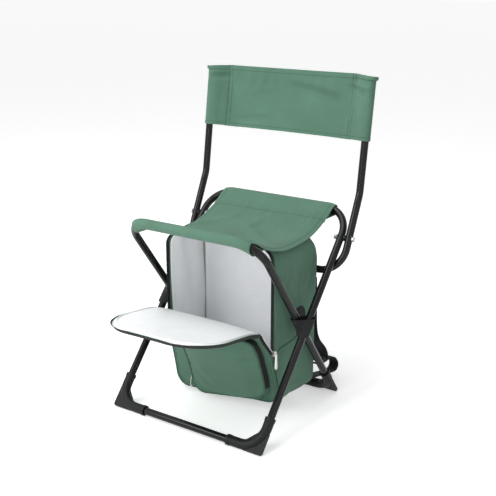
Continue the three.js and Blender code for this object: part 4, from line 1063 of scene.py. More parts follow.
def bag_ring(y, inset=0.0, from_y=None):
    """The bag's closed outline at one depth: up its left, across the top, down and back."""
    points = []
    for side in (1, -1):
        line = []
        for v in np.linspace(0, 1, side_steps):
            x, z = side_line(side, v, y, inset)
            if from_y is not None:
                start = front_edge(z)
                depth = start + (bag_back - start) * from_y
                x, z = side_line(side, v, depth, inset)
                swell = math.sin(math.pi * from_y) * math.sin(math.pi * v)
                x += side * bag_bulge * swell
            else:
                depth = y
            line.append((x, depth, z))
        points.append(line)
    right, left = points
    left = left[::-1]
    top, bottom = [], []
    for share in np.linspace(0, 1, level_steps)[1:-1]:
        a, b = np.array(right[-1]), np.array(left[0])
        p = a + (b - a) * share
        p[2] = roof_at(p[0], p[1], inset)
        top.append(p)
        a, b = np.array(left[-1]), np.array(right[0])
        p = a + (b - a) * share
        sag = bottom_sag * math.sin(math.pi * share) * math.sin(math.pi * (from_y or 0))
        p[2] = floor_at(p[0]) + inset - sag
        bottom.append(p)
    return np.array([*right, *top, *left, *bottom])


def front_edge(z):
    """Where the sides start: at the opening, or behind the front panel below the opening."""
    if z >= opening_bottom:
        return bag_front
    return max(bag_front, front_y(z, 1) + panel_thickness + panel_room)


bag_shares = 1 - np.cos(np.linspace(0, math.pi / 2, depth_steps))
bag_shares = 0.5 * bag_shares + 0.5 * np.linspace(0, 1, depth_steps)
bag_rows = [bag_ring(bag_front, 0.0, share) for share in bag_shares]
for row, share in zip(bag_rows, bag_shares):
    row[:, 1] += skin_depth * share ** 3
bag_end = bag_rows[-1]
bag_middle = bag_end.mean(axis=0)
for step in range(1, cap_steps + 1):
    share = step / cap_steps
    ring = bag_middle + (bag_end - bag_middle) * (1 - share ** 0.8 * cap_share)
    low = np.clip((cap_swell_top - ring[:, 2]) / cap_swell_fade, 0, 1)
    ring[:, 1] = bag_skin_back + cap_swell * low * math.sin(share * math.pi / 2) ** 0.7
    bag_rows.append(ring)
bag_points = np.array(bag_rows)
bag_points[..., 1] += set_back
bag_held = np.zeros(bag_points.shape[:2])
bag_held[:2] = 1
bag_held[-3:] = 1
bag_held[2] = 0.6
bag_held = np.maximum(bag_held, growing(bag_points[..., 2], hold_height, hold_fade))
bag_points = hung(bag_points, bag_held, spare=0.014, weight=0.5, cap=0.0045, ring=True,
                  push=0.4)

side_seam = (0.156, 0.184)  # height of the seam across each side, at its front and back
seam_depth, seam_width, side_depth = 0.0012, 0.0018, 0.012
depth_share = (bag_points[..., 1] - set_back - bag_front) / (bag_back - bag_front)
seam_height = side_seam[0] + (side_seam[1] - side_seam[0]) * depth_share
on_side = np.abs(bag_points[..., 0]) > bag_half - side_depth
groove = np.where(on_side, np.exp(-((bag_points[..., 2] - seam_height) / seam_width) ** 2), 0)
bag_points[..., 0] -= np.sign(bag_points[..., 0]) * groove * seam_depth
pleat_low, pleat_fade = 0.20, 0.13
pleats = ((0.18, 0.010, 0.0020), (0.34, 0.012, -0.0018), (0.50, 0.014, 0.0016),
          (0.70, 0.016, -0.0016))  # place along the side, half width and depth of each soft fold
reach_down = growing(bag_points[..., 2], pleat_low, pleat_fade)
for at, width, depth in pleats:
    off = (depth_share - at) * (bag_back - bag_front) / width
    fold = np.where(on_side, np.exp(-off ** 2) * reach_down, 0)
    bag_points[..., 0] += np.sign(bag_points[..., 0]) * fold * depth

shell = cloth_mesh("bag_shell", bag_points, oxford, ring=True)
shell = thickened(closed(shell, last_ring(bag_points)), panel_thickness - panel_room)
dressed(shell, "outer_frame", "green_cloth", "bag_side_left", "bag_side_right",
        "bag_top_panel", "bag_bottom_panel", "bag_back_panel")

# Bag lining
# Thin white film with a satin face, sewn in as a loose box inside the shell, with bound seams
# down its two rear corners. A second sheet of it lines the front panel.
lining_inset, lining_mouth = 0.0095, 0.0046
lining_wall = 0.0006
lining_start, lining_straight, lining_narrowing = 0.0005, 0.055, 0.03
lining_round, lining_round_from, lining_cap_rings = 0.0205, 0.35, 12
lining_low, lining_behind = 0.15, 2.4 * panel_thickness
ripple_depth, ripple_along, ripple_up = 0.0018, 95, 23
ripple_low, ripple_fade, ripple_side = 0.10, 0.1, 0.02
binding_radius, binding_in, binding_reach = 0.0021, (0.0022, 0.0024), (0.06, 0.93)
lining_white = (0.96, 0.97, 0.985, 1)
lining_gloss = 0.12
binding_beige = (0.36, 0.36, 0.34, 1)

film, tree, shader = blank_material("white_lining")
place = on_object(tree)
creases = textured(tree, "Noise", place, Scale=26.0, Detail=5.0, Roughness=0.6).outputs["Fac"]
ripples = textured(tree, "Noise", place, Scale=150.0, Detail=3.0).outputs["Fac"]
wired(tree, (graded(tree, creases, ((0.3, tinted(lining_white, 0.95)), (0.7, lining_white))),
             shader.inputs["Base Color"]),
      (graded(tree, ripples, ((0.3, 0.34), (0.7, 0.5))), shader.inputs["Roughness"]))
set_inputs(shader, Specular_IOR_Level=0.4, Metallic=lining_gloss)
bumped(tree, calculated(tree, "MULTIPLY_ADD", ripples, 0.25, creases), 0.0022, shader, 0.7)
seam_binding = plain_material("seam_binding", binding_beige, 0.75, 900.0, 0.0002)


lining_back = bag_back - lining_inset
lining_depths = np.concatenate([
    np.linspace(bag_front + lining_start, lining_straight, 24),
    lining_back - lining_round * np.cos(np.linspace(lining_round_from, math.pi / 2, 8))])
lining_rows = []
for y in lining_depths:
    inset = np.interp(y, (bag_front, bag_front + lining_narrowing), (lining_mouth, lining_inset))
    ring = bag_ring(min(y, lining_back), inset)
    for point in ring:
        start = max(y, front_y(point[2], 1) + lining_behind) if point[2] < lining_low else y
        point[1] = min(start, lining_back)
    lining_rows.append(ring)
lining_end = lining_rows[-1]
middle = lining_end.mean(axis=0)
for step in range(1, lining_cap_rings + 1):
    shrink = 1 - cap_share * step / lining_cap_rings
    lining_rows.append(middle + (lining_end - middle) * shrink)
lining_points = np.array(lining_rows)
lining_points[..., 1] += set_back
phase = lining_points[..., 1] * ripple_along + lining_points[..., 2] * ripple_up
tall = growing(lining_points[..., 2], ripple_low, ripple_fade)
inner_side = np.abs(lining_points[..., 0]) > bag_half - ripple_side
lining_points[..., 0] -= np.where(inner_side, np.sign(lining_points[..., 0])
                                  * ripple_depth * (1 + np.sin(phase)) * tall, 0)
lining = cloth_mesh("bag_lining_sheet", lining_points, film, ring=True)
lining = thickened(closed(lining, last_ring(lining_points)), lining_wall, 1)
dressed(lining, "outer_frame", "white_lining", "bag_lining")

corner_lines = []
for side in (-1, 1):
    line = []
    for v in np.linspace(*binding_reach, 30):
        x, z = side_line(side, v, lining_back, lining_inset)
        line.append((x - side * binding_in[0], set_back + lining_back - binding_in[1], z))
    corner_lines.append(np.array(line))
round_trim("lining_seam_binding", corner_lines, binding_radius, 10, seam_binding,
           "outer_frame", "white_lining")

# Front panel
# A foam-backed panel, piped round its edge, sewn to the shell below the zipper and free above
# it, where it leans out to the crest that the flap folds over.
front_half = bag_half - 0.001
front_columns, front_rows = 56, 44
piping_radius, piping_sides, piping_shade, piping_behind = 0.0022, 12, 0.62, 0.0006
lined_share, lined_behind, lined_from = 0.985, 0.0009, 0.05
welt_share, welt_behind, welt_radius, welt_sides = 0.998, 0.0027, 0.0019, 10
welt_above, piping_below = 0.004, 0.008  # how far from the opening's end they stop


def front_point(s, v, behind=0.0):
    """A point on the front panel's face, or as far behind it."""
    edge = abs(s) ** 3
    low = floor_at(s * front_half) + round_in(front_half * (1 - abs(s)), low_round)
    high = crest_height - crest_drop * edge
    z = low + (high - low) * v
    free = max(0.0, (z - opening_bottom) / (crest_height - opening_bottom))
    x = s * (front_half + (crest_half - front_half) * free)
    return np.array((x, set_back + front_y(z, edge) + behind, z))


front_s = bunched(front_columns)
front_points = np.array([[front_point(s, v) for s in front_s]
                         for v in np.linspace(0, 1, front_rows)])
panel = thickened(cloth_mesh("bag_front_panel", front_points, oxford), panel_thickness)
dressed(panel, "outer_frame", "green_cloth", "front_panel")

lined_points = np.array([[front_point(lined_share * s, v, panel_thickness + lined_behind)
                          for s in front_s] for v in np.linspace(lined_from, 1, front_rows)])
front_lining = cloth_mesh("front_panel_lining", lined_points, film)
front_lining = thickened(front_lining, lining_wall, 1)
dressed(front_lining, "outer_frame", "white_lining")

edge_v = [v for v in np.linspace(0, 1, 120)
          if front_point(1, v)[2] > opening_bottom + welt_above]
edge_welts = [[front_point(side * welt_share, v, panel_thickness + welt_behind) for v in edge_v]
              for side in (-1, 1)]
round_trim("front_welt", edge_welts, welt_radius, welt_sides, film, "outer_frame",
           "white_lining")

piping_green = plain_material("green_piping", tinted(cloth_green, piping_shade), 0.75, 1600.0,
                              0.0001)
side_v = [v for v in np.linspace(0, 1, 60)
          if front_point(1, v)[2] < opening_bottom - piping_below]
edge_line = ([front_point(-1, v) for v in side_v[::-1]]
             + [front_point(s, 0) for s in front_s[1:-1]]
             + [front_point(1, v) for v in side_v])
edge_line = np.array(edge_line) + (0, piping_behind, 0)
round_trim("front_piping", [edge_line], piping_radius, piping_sides, piping_green,
           "outer_frame", "green_cloth")

# Front flap
# A padded half-round panel, green outside and lined with white film inside. It folds over the
# crest and lies open, nearly level, with its half of the zipper round its edge.
flap_length, flap_half = 0.184, 0.1347
flap_corner = 0.089
flap_curl, flap_rise, flap_twist, flap_crown, flap_drift = 0.0096, 0.013, -0.0017, 0.0009, 0.0065
flap_thickness, flap_wall_room, flap_lining_wall = 0.0038, 0.0006, 0.0007
flap_columns, flap_rows = 60, 44
crest_gap, crest_ease = 0.0003, 6
rim_roll, puff_reach = 0.004, 0.012
under_fall, under_puff = -0.0010, -0.0006
top_lift, top_grow, top_fall, top_puff = 0.0004, 0.0006, 0.0018, 0.0016
flap_welt_lift, flap_welt_in, flap_welt_radius, flap_welt_start = 0.0022, 0.0055, 0.0016, 0.02


def flap_point(s, v, lift=0.0, grow=0.0):
    """A point on the open flap, from the crest to its free edge."""
    down = (flap_length + grow) * math.sin(v * math.pi / 2)
    narrow = round_in(flap_length + grow - down, flap_corner)
    share = down / flap_length
    x = s * (flap_half + grow - narrow) - flap_drift * share
    off = x / flap_half
    bow = flap_curl * (1 - (1 - share) ** 3) + flap_rise * share ** 2
    bow -= (flap_twist * off + flap_crown * off ** 2) * share
    fold = crest_drop * abs(s) ** 3 * max(0.0, 1 - share * crest_ease)
    y = set_back - crest_reach - crest_gap - down
    return np.array((x, y, crest_height + bow + lift - fold))


def flap_grid(lift, grow, rim_fall, puff):
    """A face of the flap whose rim rolls down by rim_fall, puffed between its seams."""
    grid = []
    for v in np.linspace(0, 1, flap_rows):
        row = []
        for s in bunched(flap_columns):
            point = flap_point(s, v, lift, grow)
            reach = min(flap_half * (1 - abs(s)), flap_length * (1 - math.sin(v * math.pi / 2)))
            roll = math.exp(-(reach / rim_roll) ** 2)
            point[2] += puff * math.tanh(reach / puff_reach) - rim_fall * roll
            row.append(point)
        grid.append(row)
    return np.array(grid)


def flap_edge(lift, grow, start, side_steps, end_steps):
    """A line along the flap's edge, from one end of the crest round to the other."""
    sides = np.linspace(start, 1, side_steps, endpoint=False)
    return ([flap_point(1, v, lift, grow) for v in sides]
            + [flap_point(s, 1, lift, grow) for s in bunched(end_steps)[::-1]]
            + [flap_point(-1, v, lift, grow) for v in sides[::-1]])


flap_under = flap_grid(0.0, 0.0, under_fall, under_puff)
flap_top = flap_grid(flap_thickness + top_lift, top_grow, top_fall, top_puff)
flap_outside = thickened(cloth_mesh("flap_outer", flap_under, oxford),
                         flap_thickness - flap_wall_room)
dressed(flap_outside, "flap", "green_cloth", "flap_panel")
flap_inside = cloth_mesh("flap_lining_sheet", flap_top, film, outwards=-1)
flap_inside = thickened(flap_inside, flap_lining_wall)
dressed(flap_inside, "flap", "white_lining", "flap_lining")

flap_welt = flap_edge(flap_thickness + flap_welt_lift, -flap_welt_in, flap_welt_start, 24, 40)
round_trim("flap_welt", [flap_welt], flap_welt_radius, welt_sides, film, "flap",
           "white_lining")

# Zippers
# A black coil zipper on woven tape runs round the opening and down to its slider, with its other
# half on the flap's rim. Sliders and their long pulls are nickel-plated.
webbing_black = (0.016, 0.0165, 0.018, 1)
nickel_grey = (0.72, 0.70, 0.67, 1)
tape_width, tape_wall = 0.009, 0.0012
tape_out, tape_inset, tape_ahead = 0.0019, 0.002, 0.0012
tape_shares = (0, 0.33, 0.67, 1)
crest_share = 0.985
rim_lift, rim_grow, rim_aim = flap_thickness + 0.0003, 0.0027, 0.08
rim_lean = math.radians(50)
tooth_pitch, tooth_size = 0.0016, (0.0010, 0.0022, 0.0022)
slider_height, slider_gap = 0.012, 0.0022
slider_place = (0.1407, set_back + bag_front - tape_width / 2, opening_bottom)
slider_half, plate_wall, post_half, post_at, post_tall = 0.0035, 0.0011, 0.0007, 0.36, 0.12
arch_rise, arch_tall, arch_steps, arch_half, arch_wall = 0.0014, 0.30, 10, 0.0011, 0.0004
slider_round, slider_sharp = 0.00035, math.radians(50)
square = ((-1, -1), (1, -1), (1, 1), (-1, 1))

webbing = woven_material("black_webbing", webbing_black, 0.0011, 0.0004, 0.05, 0.3)
coil = plain_material("zipper_coil", (0.010, 0.0102, 0.011, 1), 0.6, 1800.0, 0.00005)
nickel = worn_material(
    "nickel_plate", nickel_grey, "Noise", dict(Scale=300.0, Detail=5.0),
    shades=((0.35, 0.85), (0.7, 1)), roughness=((0.3, 0.2), (0.75, 0.38)), relief=0.00004,
    Metallic=1)


def along_line(points, count):
    """A line of points, set evenly along their path."""
    points = np.array(points)
    steps = np.concatenate([[0], np.cumsum(np.linalg.norm(np.diff(points, axis=0), axis=1))])
    places = np.linspace(0, steps[-1], count)
    return np.stack([np.interp(places, steps, points[:, axis]) for axis in range(3)], axis=1)


def zipper_half(name, line, width_way, body, node, width=tape_width, count=120, teeth=1.0):
    """One half of a zipper: a woven tape along a line, and its coil along the tape's edge."""
    line = along_line(line, count)
    grid = np.stack([line + np.array(width_way) * width * share
                     for share in tape_shares], axis=1)
    tape = thickened(cloth_mesh(name, grid, webbing), tape_wall, 0)
    dressed(tape, body, "black_webbing", node)
    row = line + np.array(width_way) * width * teeth
    row = grown(lines_object(f"{name}_coil", [row]), stitch_tree, pitch=tooth_pitch,
                size=tooth_size, finish=coil)
    dressed(row, body, "black_webbing")


opening_line = [(x, set_back + bag_front - tape_ahead, z)
                for x, _, z in bag_ring(bag_front, tape_inset) if z > opening_bottom]
zipper_half("opening_tape", opening_line, (0, -1, 0), "outer_frame", "opening_zipper_tape")
for word, side in both_sides:
    edge = [front_point(side, v) for v in np.linspace(0, crest_share, 160)]
    edge = [p + np.array((side * tape_out, tape_width / 2, 0)) for p in edge
            if p[2] > opening_bottom]
    zipper_half(f"front_tape_{word}", edge, (0, -1, 0), "outer_frame",
                f"front_zipper_tape_{word}", count=40, teeth=0.5)
rim_line = along_line(flap_edge(rim_lift, rim_grow, 0, 30, 60), 160)
inwards = np.array((0, set_back - crest_reach - rim_aim, 0)) - rim_line
inwards[:, 2] = 0
zipper_half("flap_tape", rim_line, unit(inwards) * math.cos(rim_lean)
            + np.array((0, 0, -math.sin(rim_lean))), "flap", "flap_zipper_tape", count=160)

slider_outline = ((-0.55, -0.5), (0.55, -0.5), (0.62, -0.1), (1, 0.22), (1, 0.42), (0.72, 0.5),
                  (-0.72, 0.5), (-1, 0.42), (-1, 0.22), (-0.62, -0.1))


def slider_piece(name, place, side, scale, body, node):
    """A zipper slider: two shaped plates on a post, with a loop on the outer plate."""
    shape = bmesh.new()
    half, plate = slider_half * scale, plate_wall * scale
    gap, tall = slider_gap * scale, slider_height * scale

    def block(outline, low, high):
        near = [shape.verts.new((low * side, y, z)) for y, z in outline]
        far = [shape.verts.new((high * side, y, z)) for y, z in outline]
        shape.faces.new(near)
        shape.faces.new(far[::-1])
        for k in range(len(outline)):
            after = (k + 1) % len(outline)
            shape.faces.new((near[k], far[k], far[after], near[after]))

    outline = [(half * y, tall * z) for y, z in slider_outline]
    block(outline, -gap / 2 - plate, -gap / 2)
    block(outline, gap / 2, gap / 2 + plate)
    post = [(post_half * scale * y, tall * (post_at + post_tall * z)) for y, z in square]
    block(post, -gap / 2, gap / 2)
    arch_out = gap / 2 + plate
    centre = [(arch_out + arch_rise * scale * math.sin(a), arch_tall * tall * math.cos(a))
              for a in np.linspace(0, math.pi, arch_steps + 1)]
    rows = []
    for k, (x, z) in enumerate(centre):
        ahead = np.subtract(centre[min(k + 1, arch_steps)], centre[max(k - 1, 0)])
        normal = unit(np.array((ahead[1], -ahead[0]))) * arch_wall * scale
        rows.append([shape.verts.new(((x + normal[0] * t) * side, w * arch_half * scale,
                                      z + normal[1] * t)) for t, w in square])
    for near, far in zip(rows, rows[1:]):
        for k in range(4):
            shape.faces.new((near[k], near[(k + 1) % 4], far[(k + 1) % 4], far[k]))
    shape.faces.new(rows[0][::-1])
    shape.faces.new(rows[-1])
    bmesh.ops.recalc_face_normals(shape, faces=shape.faces)
    bmesh.ops.translate(shape, vec=place, verts=shape.verts)
    mesh = shape_mesh(name, shape)
    mesh.materials.append(nickel)
    piece = added(name, mesh)
    rounding = piece.modifiers.new("rounding", "BEVEL")
    rounding.width, rounding.segments = slider_round * scale, 2
    rounding.limit_method = "ANGLE"
    settled_mesh(piece)
    piece.data.set_sharp_from_angle(angle=slider_sharp)
    dressed(piece, body, "nickel", node)


slider_piece("opening_slider", slider_place, 1, 1.0, "zipper_slider", "zipper_slider")
for node in ("zipper_pull", "pocket_pull"):
    painted(node, nickel)

# Front pocket
# A shallow patch pocket of the same cloth sits off centre on the front panel, piped round its
# face, with a zipper round its gusset that is parked at its lower left end.
pocket_height, pocket_half, pocket_corner, pocket_x = 0.166, 0.098, 0.034, 0.020
pocket_top_corner, pocket_tilt = 0.014, math.radians(10)
pocket_low, pocket_depth, pocket_wall = 0.031, 0.018, 0.0014
pocket_puff, pocket_puff_reach, pocket_tape = 0.0035, 0.03, 0.0125
gusset_start, gusset_bulge, zip_behind, zip_out = 0.0003, 0.0016, 0.0025, 0.0022
pocket_rows, pocket_columns = 40, 46
pocket_zip_from = 0.28
small_slider = (-0.0831, set_back - 0.0445, 0.0448)


def pocket_point(u, v, lift=0.0, inset=0.0):
    """A point on the pocket's face, which follows the leaning panel at one depth."""
    tall = pocket_height - 2 * inset
    up = tall * (1 - math.cos(math.pi * v)) / 2
    half = pocket_half - inset - max(round_in(up, pocket_corner),
                                     round_in(tall - up, pocket_top_corner))
    x = pocket_x + half * (2 * u - 1)
    z = (pocket_low + inset + up
         + math.tan(pocket_tilt) * (x - pocket_x) * (1 - up / tall))
    return np.array((x, set_back + front_y(z, abs(x / front_half) ** 3) - lift, z))


pocket_u = (1 + bunched(pocket_columns)) / 2
pocket_v = np.linspace(0, 1, pocket_rows)
pocket_grid = []
for v in pocket_v:
    row = []
    for u in pocket_u:
        up = pocket_height * (1 - math.cos(math.pi * v)) / 2
        reach = min(up, pocket_height - up, 2 * pocket_half * min(u, 1 - u))
        puff = pocket_puff * math.tanh(reach / pocket_puff_reach)
        row.append(pocket_point(u, v, pocket_depth + puff))
    pocket_grid.append(row)
pocket_grid = np.array(pocket_grid)
pocket_held = np.zeros(pocket_grid.shape[:2])
pocket_held[[0, -1]] = 1
pocket_held[:, [0, -1]] = 1
pocket_grid = hung(pocket_grid, pocket_held, spare=0.016, weight=0.8, cap=0.005, push=0.15)
pocket_face = cloth_mesh("pocket_face", pocket_grid, oxford)
pocket_face = thickened(pocket_face, pocket_wall)
rim_places = ([(u, 0) for u in pocket_u] + [(1, v) for v in pocket_v[1:]]
              + [(u, 1) for u in pocket_u[-2::-1]] + [(0, v) for v in pocket_v[-2:0:-1]])
pocket_middle = pocket_point(0.5, 0.5)


def outwards_from_pocket(line):
    """Directions across the pocket, with no part forwards, from its middle to a line's points."""
    return unit((line - pocket_middle) * (1, 0, 1))


gusset_rows = []
for share in np.linspace(0, 1, 8):
    ring = np.array([pocket_point(u, v, pocket_depth * (1 - share) + gusset_start)
                     for u, v in rim_places])
    bulge = gusset_bulge * math.sin(math.pi * share)
    gusset_rows.append(ring + outwards_from_pocket(ring) * bulge)
gusset_points = np.array(gusset_rows)
gusset = thickened(cloth_mesh("pocket_gusset", gusset_points, oxford, ring=True, outwards=-1),
                   pocket_wall)
pocket_rim = [pocket_point(u, v, pocket_depth) for u, v in rim_places]
dressed(pocket_face, "outer_frame", "green_cloth", "pocket_pouch")
dressed(gusset, "outer_frame", "green_cloth")
round_trim("pocket_piping", [pocket_rim + pocket_rim[:1]], piping_radius, piping_sides,
           piping_green, "outer_frame", "green_cloth")
zip_v = pocket_v[pocket_v > pocket_zip_from]
zip_line = [(0, v) for v in zip_v[:-1]] + [(u, 1) for u in pocket_u] + [
    (1, v) for v in zip_v[-2::-1]]
zip_line = np.array([pocket_point(u, v, pocket_depth - zip_behind) for u, v in zip_line])
zipper_half("pocket_tape", zip_line + outwards_from_pocket(zip_line) * zip_out, (0, 1, 0),
            "outer_frame", "pocket_zipper_tape", width=pocket_tape, teeth=0.5)
slider_piece("pocket_slider_body", small_slider, -1, 0.7, "outer_frame", "pocket_slider")

# Pivot bands
# A half-round patch of black webbing on each side of the bag carries a sleeve of webbing that
# wraps the two legs where they cross and holds the bag's weight there.
patch_radius, patch_wall = 0.022, 0.0012
patch_x, patch_y = 0.15, set_back + 0.036
patch_low, patch_drop, patch_lift = 0.215, 0.014, 0.0006
patch_seam, patch_foot_seam, patch_stitch_lift = 0.003, 0.0025, 0.0021
laying_reach = 0.03
band_low, band_high, band_wall, band_mid = 0.018, 0.014, 0.0014, 0.005
band_radii = np.array((0.0132, 0.0124))


def laid_on(surface, points, way, lift):
    """Moves points along a direction on to a surface, and lifts them off it."""
    way = Vector(way)
    found = []
    for point in points:
        hit = surface.ray_cast(Vector(point) - way * laying_reach, way, 2 * laying_reach)[0]
        found.append(tuple(Vector(point) if hit is None else hit - way * lift))
    return np.array(found)


def surface_of(piece):
    """A tree that finds where a line meets a piece."""
    shape = bmesh.new()
    shape.from_mesh(piece.data)
    found = BVHTree.FromBMesh(shape)
    shape.free()
    return found


shell_surface = surface_of(shell)
webbing_lines = []
for word, side in both_sides:
    turns = np.linspace(0, math.pi, 25)
    arc, seam = ([(patch_x * side, patch_y + radius * math.cos(t),
                   patch_low + radius * math.sin(t)) for t in turns]
                 for radius in (patch_radius, patch_radius - patch_seam))
    foot = [(x, y, patch_low - patch_drop) for x, y, _ in arc]
    grid = np.array([[np.array(a) + (np.array(b) - a) * share for a, b in zip(foot, arc)]
                     for share in np.linspace(0, 1, 9)])
    laid = laid_on(shell_surface, grid.reshape(-1, 3), (-side, 0, 0), patch_lift)
    grid = laid.reshape(grid.shape)
    patch = thickened(cloth_mesh(f"pivot_patch_cloth_{word}", grid[:, 1:-1], webbing,
                                 outwards=side), patch_wall, 1)
    seam += [(x, y, patch_low - patch_drop + patch_foot_seam)
             for x, y, _ in (seam[-1], seam[0])]
    webbing_lines.append(laid_on(shell_surface, seam + seam[:1], (-side, 0, 0),
                                 patch_stitch_lift))
    rows = []
    for up in np.linspace(-band_low, band_high, 14):
        centres = [np.array((width / 2, set_back + up * math.tan(lean))) for width, lean in
                   ((inner_width, -inner_lean), (outer_width, outer_lean))]
        turns = np.linspace(math.pi, 3 * math.pi, 73)[:-1]
        section = []
        for way in np.stack([np.cos(turns), np.sin(turns)], axis=1):
            place = max(centres, key=lambda centre: centre @ way)
            section.append((*(place + way * band_radii), 0))
        section = along_line(section + section[:1], 61)[:-1]
        rows.append([(side * x, y, pivot_height + up) for x, y, _ in section])
    band = thickened(cloth_mesh(f"pivot_band_web_{word}", np.array(rows), webbing, ring=True,
                                outwards=-side), band_wall, 1)
    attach(patch, "outer_frame")
    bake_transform(band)
    for piece, node in ((patch, f"pivot_patch_{word}"), (band, f"pivot_band_{word}")):
        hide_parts(node)

# Shoulder straps and grab handle
# Two foam-padded straps of black cloth hang from the back of the bag, each with a ladder lock
# and a tail of webbing that returns to the bag's foot. A webbing handle is sewn between them.
skin_gap, path_rounds = 0.0003, 3
back_face = set_back + bag_skin_back + skin_gap
strap_x, strap_half, strap_wall, strap_gap = 0.122, 0.025, 0.007, 0.0003
strap_sides, strap_squareness, strap_roundness = 28, 0.55, 0.8
strap_crown, strap_end_fade, strap_end_wall = 0.45, 0.03, 0.35
strap_binding, strap_edge, strap_stitch_in, strap_stitch_out = 0.0021, 0.0006, 0.0055, 0.0033
strap_high, strap_low, strap_out = 0.284, 0.075, 0.058
strap_shares = ((0, 0), (0.3, 0.04), (0.58, 0.08), (0.72, 0.3), (0.85, 0.8), (0.95, 1), (1, 1))
web_out, web_up, web_half, web_wall = 0.141, 0.0532, 0.012, 0.0015
web_shares = ((0.43, 1.3), (0.46, 1.05), (0.8, 1.16), (1, 0.62), (0.94, 0.3), (0.74, 0.38),
              (0.4, 0.6), (0.03, 0.8))
handle_half, handle_out, handle_height, handle_gap = 0.060, 0.016, 0.328, 0.0014
handle_shares = ((-1, 0), (-0.8, 0.3), (-0.4, 0.95), (0, 1), (0.4, 0.95), (0.8, 0.3), (1, 0))
lock_columns = (-0.016, -0.0128, 0.0128, 0.016)
lock_rows = (-0.010, -0.0072, -0.0014, 0.0014, 0.0072, 0.010)
lock_out, lock_up, lock_wall, lock_round = 0.0615, 0.0641, 0.0044, 0.0007
side_seam_x, side_seam_radius, side_seam_lift = 0.14, 0.0011, 0.0004
side_seam_front, side_seam_back = 0.004, 0.012  # how far it stops from the bag's front and back
panel_stitch_s, panel_stitch_v, panel_stitch_lift = 0.955, 0.035, 0.0001
panel_stitch_turn, panel_stitch_low = 0.92, 0.02

strap_cloth = woven_material("strap_cloth", (0.02, 0.0205, 0.0225, 1), 0.00062, 0.00022, 0.08)


def rounded(points, count):
    """A smooth even path through a coarse one, its corners cut by degrees."""
    points = np.array(points, float)
    for _ in range(path_rounds):
        cut = [points[0]]
        for a, b in zip(points, points[1:]):
            cut += [0.75 * a + 0.25 * b, 0.25 * a + 0.75 * b]
        points = np.array(cut + [points[-1]])
    return along_line(points, count)


def flat_web(name, path, wide, node):
    """A flat woven web along a path, wide along one direction."""
    grid = np.stack([path + np.array(wide) * web_half * t for t in (-1, -0.5, 0, 0.5, 1)], axis=1)
    piece = thickened(cloth_mesh(name, grid, webbing), web_wall, 0)
    dressed(piece, "outer_frame", "black_webbing", node)


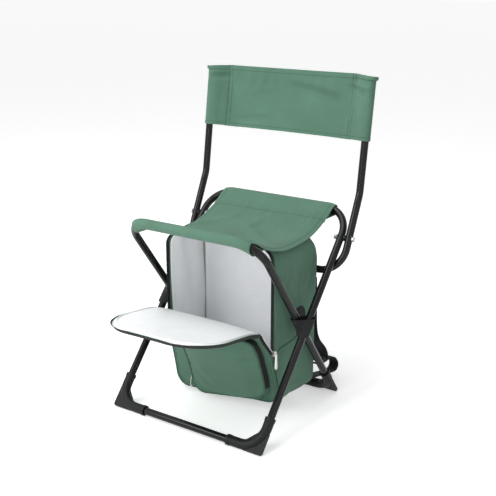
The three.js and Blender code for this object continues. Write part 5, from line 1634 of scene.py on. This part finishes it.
for word, side in both_sides:
    x = side * strap_x
    path = rounded([(x, back_face + strap_gap + strap_wall / 2 + strap_out * out,
                     strap_high - (strap_high - strap_low) * down)
                    for down, out in strap_shares], 70)
    normals = np.cross(unit(np.gradient(path, axis=0)), across)
    places = np.linspace(0, 1, len(path))
    ends = np.clip(np.minimum(places, 1 - places) / strap_end_fade, 0, 1) ** 0.5
    rows = []
    for point, normal, end in zip(path, normals, ends):
        ring = []
        for turn in np.linspace(0, 2 * math.pi, strap_sides, endpoint=False):
            wide = np.sign(math.cos(turn)) * abs(math.cos(turn)) ** strap_squareness
            deep = np.sign(math.sin(turn)) * abs(math.sin(turn)) ** strap_roundness
            crown = 1 - strap_crown * abs(wide) ** 4
            half = strap_wall / 2 * crown * (strap_end_wall + (1 - strap_end_wall) * end)
            ring.append(point + np.array((wide * strap_half, 0, 0)) + normal * deep * half)
        rows.append(ring)
    rows = np.array(rows)
    strap = cloth_mesh(f"padded_strap_{word}", rows, strap_cloth, ring=True)
    strap = closed(strap, range(strap_sides), last_ring(rows))
    dressed(strap, "outer_frame", "black_webbing", f"shoulder_strap_{word}")
    edges = [path + (t * (strap_half - strap_edge), 0, 0) for t in (-1, 1)]
    round_trim(f"strap_binding_{word}", edges, strap_binding, 10, webbing, "outer_frame",
               "black_webbing")
    for t in (-1, 1):
        webbing_lines.append(path - normals * strap_stitch_out
                             + (t * (strap_half - strap_stitch_in), 0, 0))

    shape = bmesh.new()
    lattice = [[shape.verts.new((x + a, back_face + lock_out, lock_up + b))
                for a in lock_columns] for b in lock_rows]
    for row in range(len(lock_rows) - 1):
        for column in range(len(lock_columns) - 1):
            if column == 1 and row in (1, 3):
                continue
            shape.faces.new((lattice[row][column], lattice[row][column + 1],
                             lattice[row + 1][column + 1], lattice[row + 1][column]))
    mesh = shape_mesh(f"strap_lock_{word}", shape)
    mesh.materials.append(plastic)
    lock = added(mesh.name, mesh)
    wall = lock.modifiers.new("wall", "SOLIDIFY")
    wall.thickness, wall.offset = lock_wall, 0
    rounding = lock.modifiers.new("rounding", "BEVEL")
    rounding.width, rounding.segments = lock_round, 3
    settled_mesh(lock)
    dressed(lock, "outer_frame", "dark_plastic", f"ladder_lock_{word}")

    path = rounded([(x, back_face + web_out * out, web_up * up) for out, up in web_shares], 110)
    flat_web(f"strap_web_{word}", path, (1, 0, 0), f"strap_webbing_{word}")

path = rounded([(handle_half * out, back_face + handle_gap + handle_out * away, handle_height)
                for out, away in handle_shares], 70)
flat_web("handle_web", path, (0, 0, 1), "grab_handle")

stitch_rows("webbing_stitches", webbing_lines, "outer_frame", "black_webbing", black_thread)
seam_lines = []
for side in (-1, 1):
    seam_y = np.linspace(bag_front + side_seam_front, bag_back - side_seam_back, 50)
    seam_z = np.interp(seam_y, (bag_front, bag_back), side_seam)
    line = [(side * side_seam_x, set_back + y, z) for y, z in zip(seam_y, seam_z)]
    seam_lines.append(laid_on(shell_surface, line, (-side, 0, 0), side_seam_lift))
round_trim("side_seam_piping", seam_lines, side_seam_radius, 8, piping_green, "outer_frame",
           "green_cloth")
front_stitch_v = [v for v in side_v if v > panel_stitch_low]
green_line = [(-panel_stitch_s, v) for v in front_stitch_v[::-1]]
green_line += [(s, panel_stitch_v)
               for s in np.linspace(-panel_stitch_turn, panel_stitch_turn, 60)]
green_line += [(panel_stitch_s, v) for v in front_stitch_v]
green_lines = [[front_point(s, v, -panel_stitch_lift) for s, v in green_line]]
stitch_rows("panel_stitches", green_lines, "outer_frame", "green_cloth", green_thread)
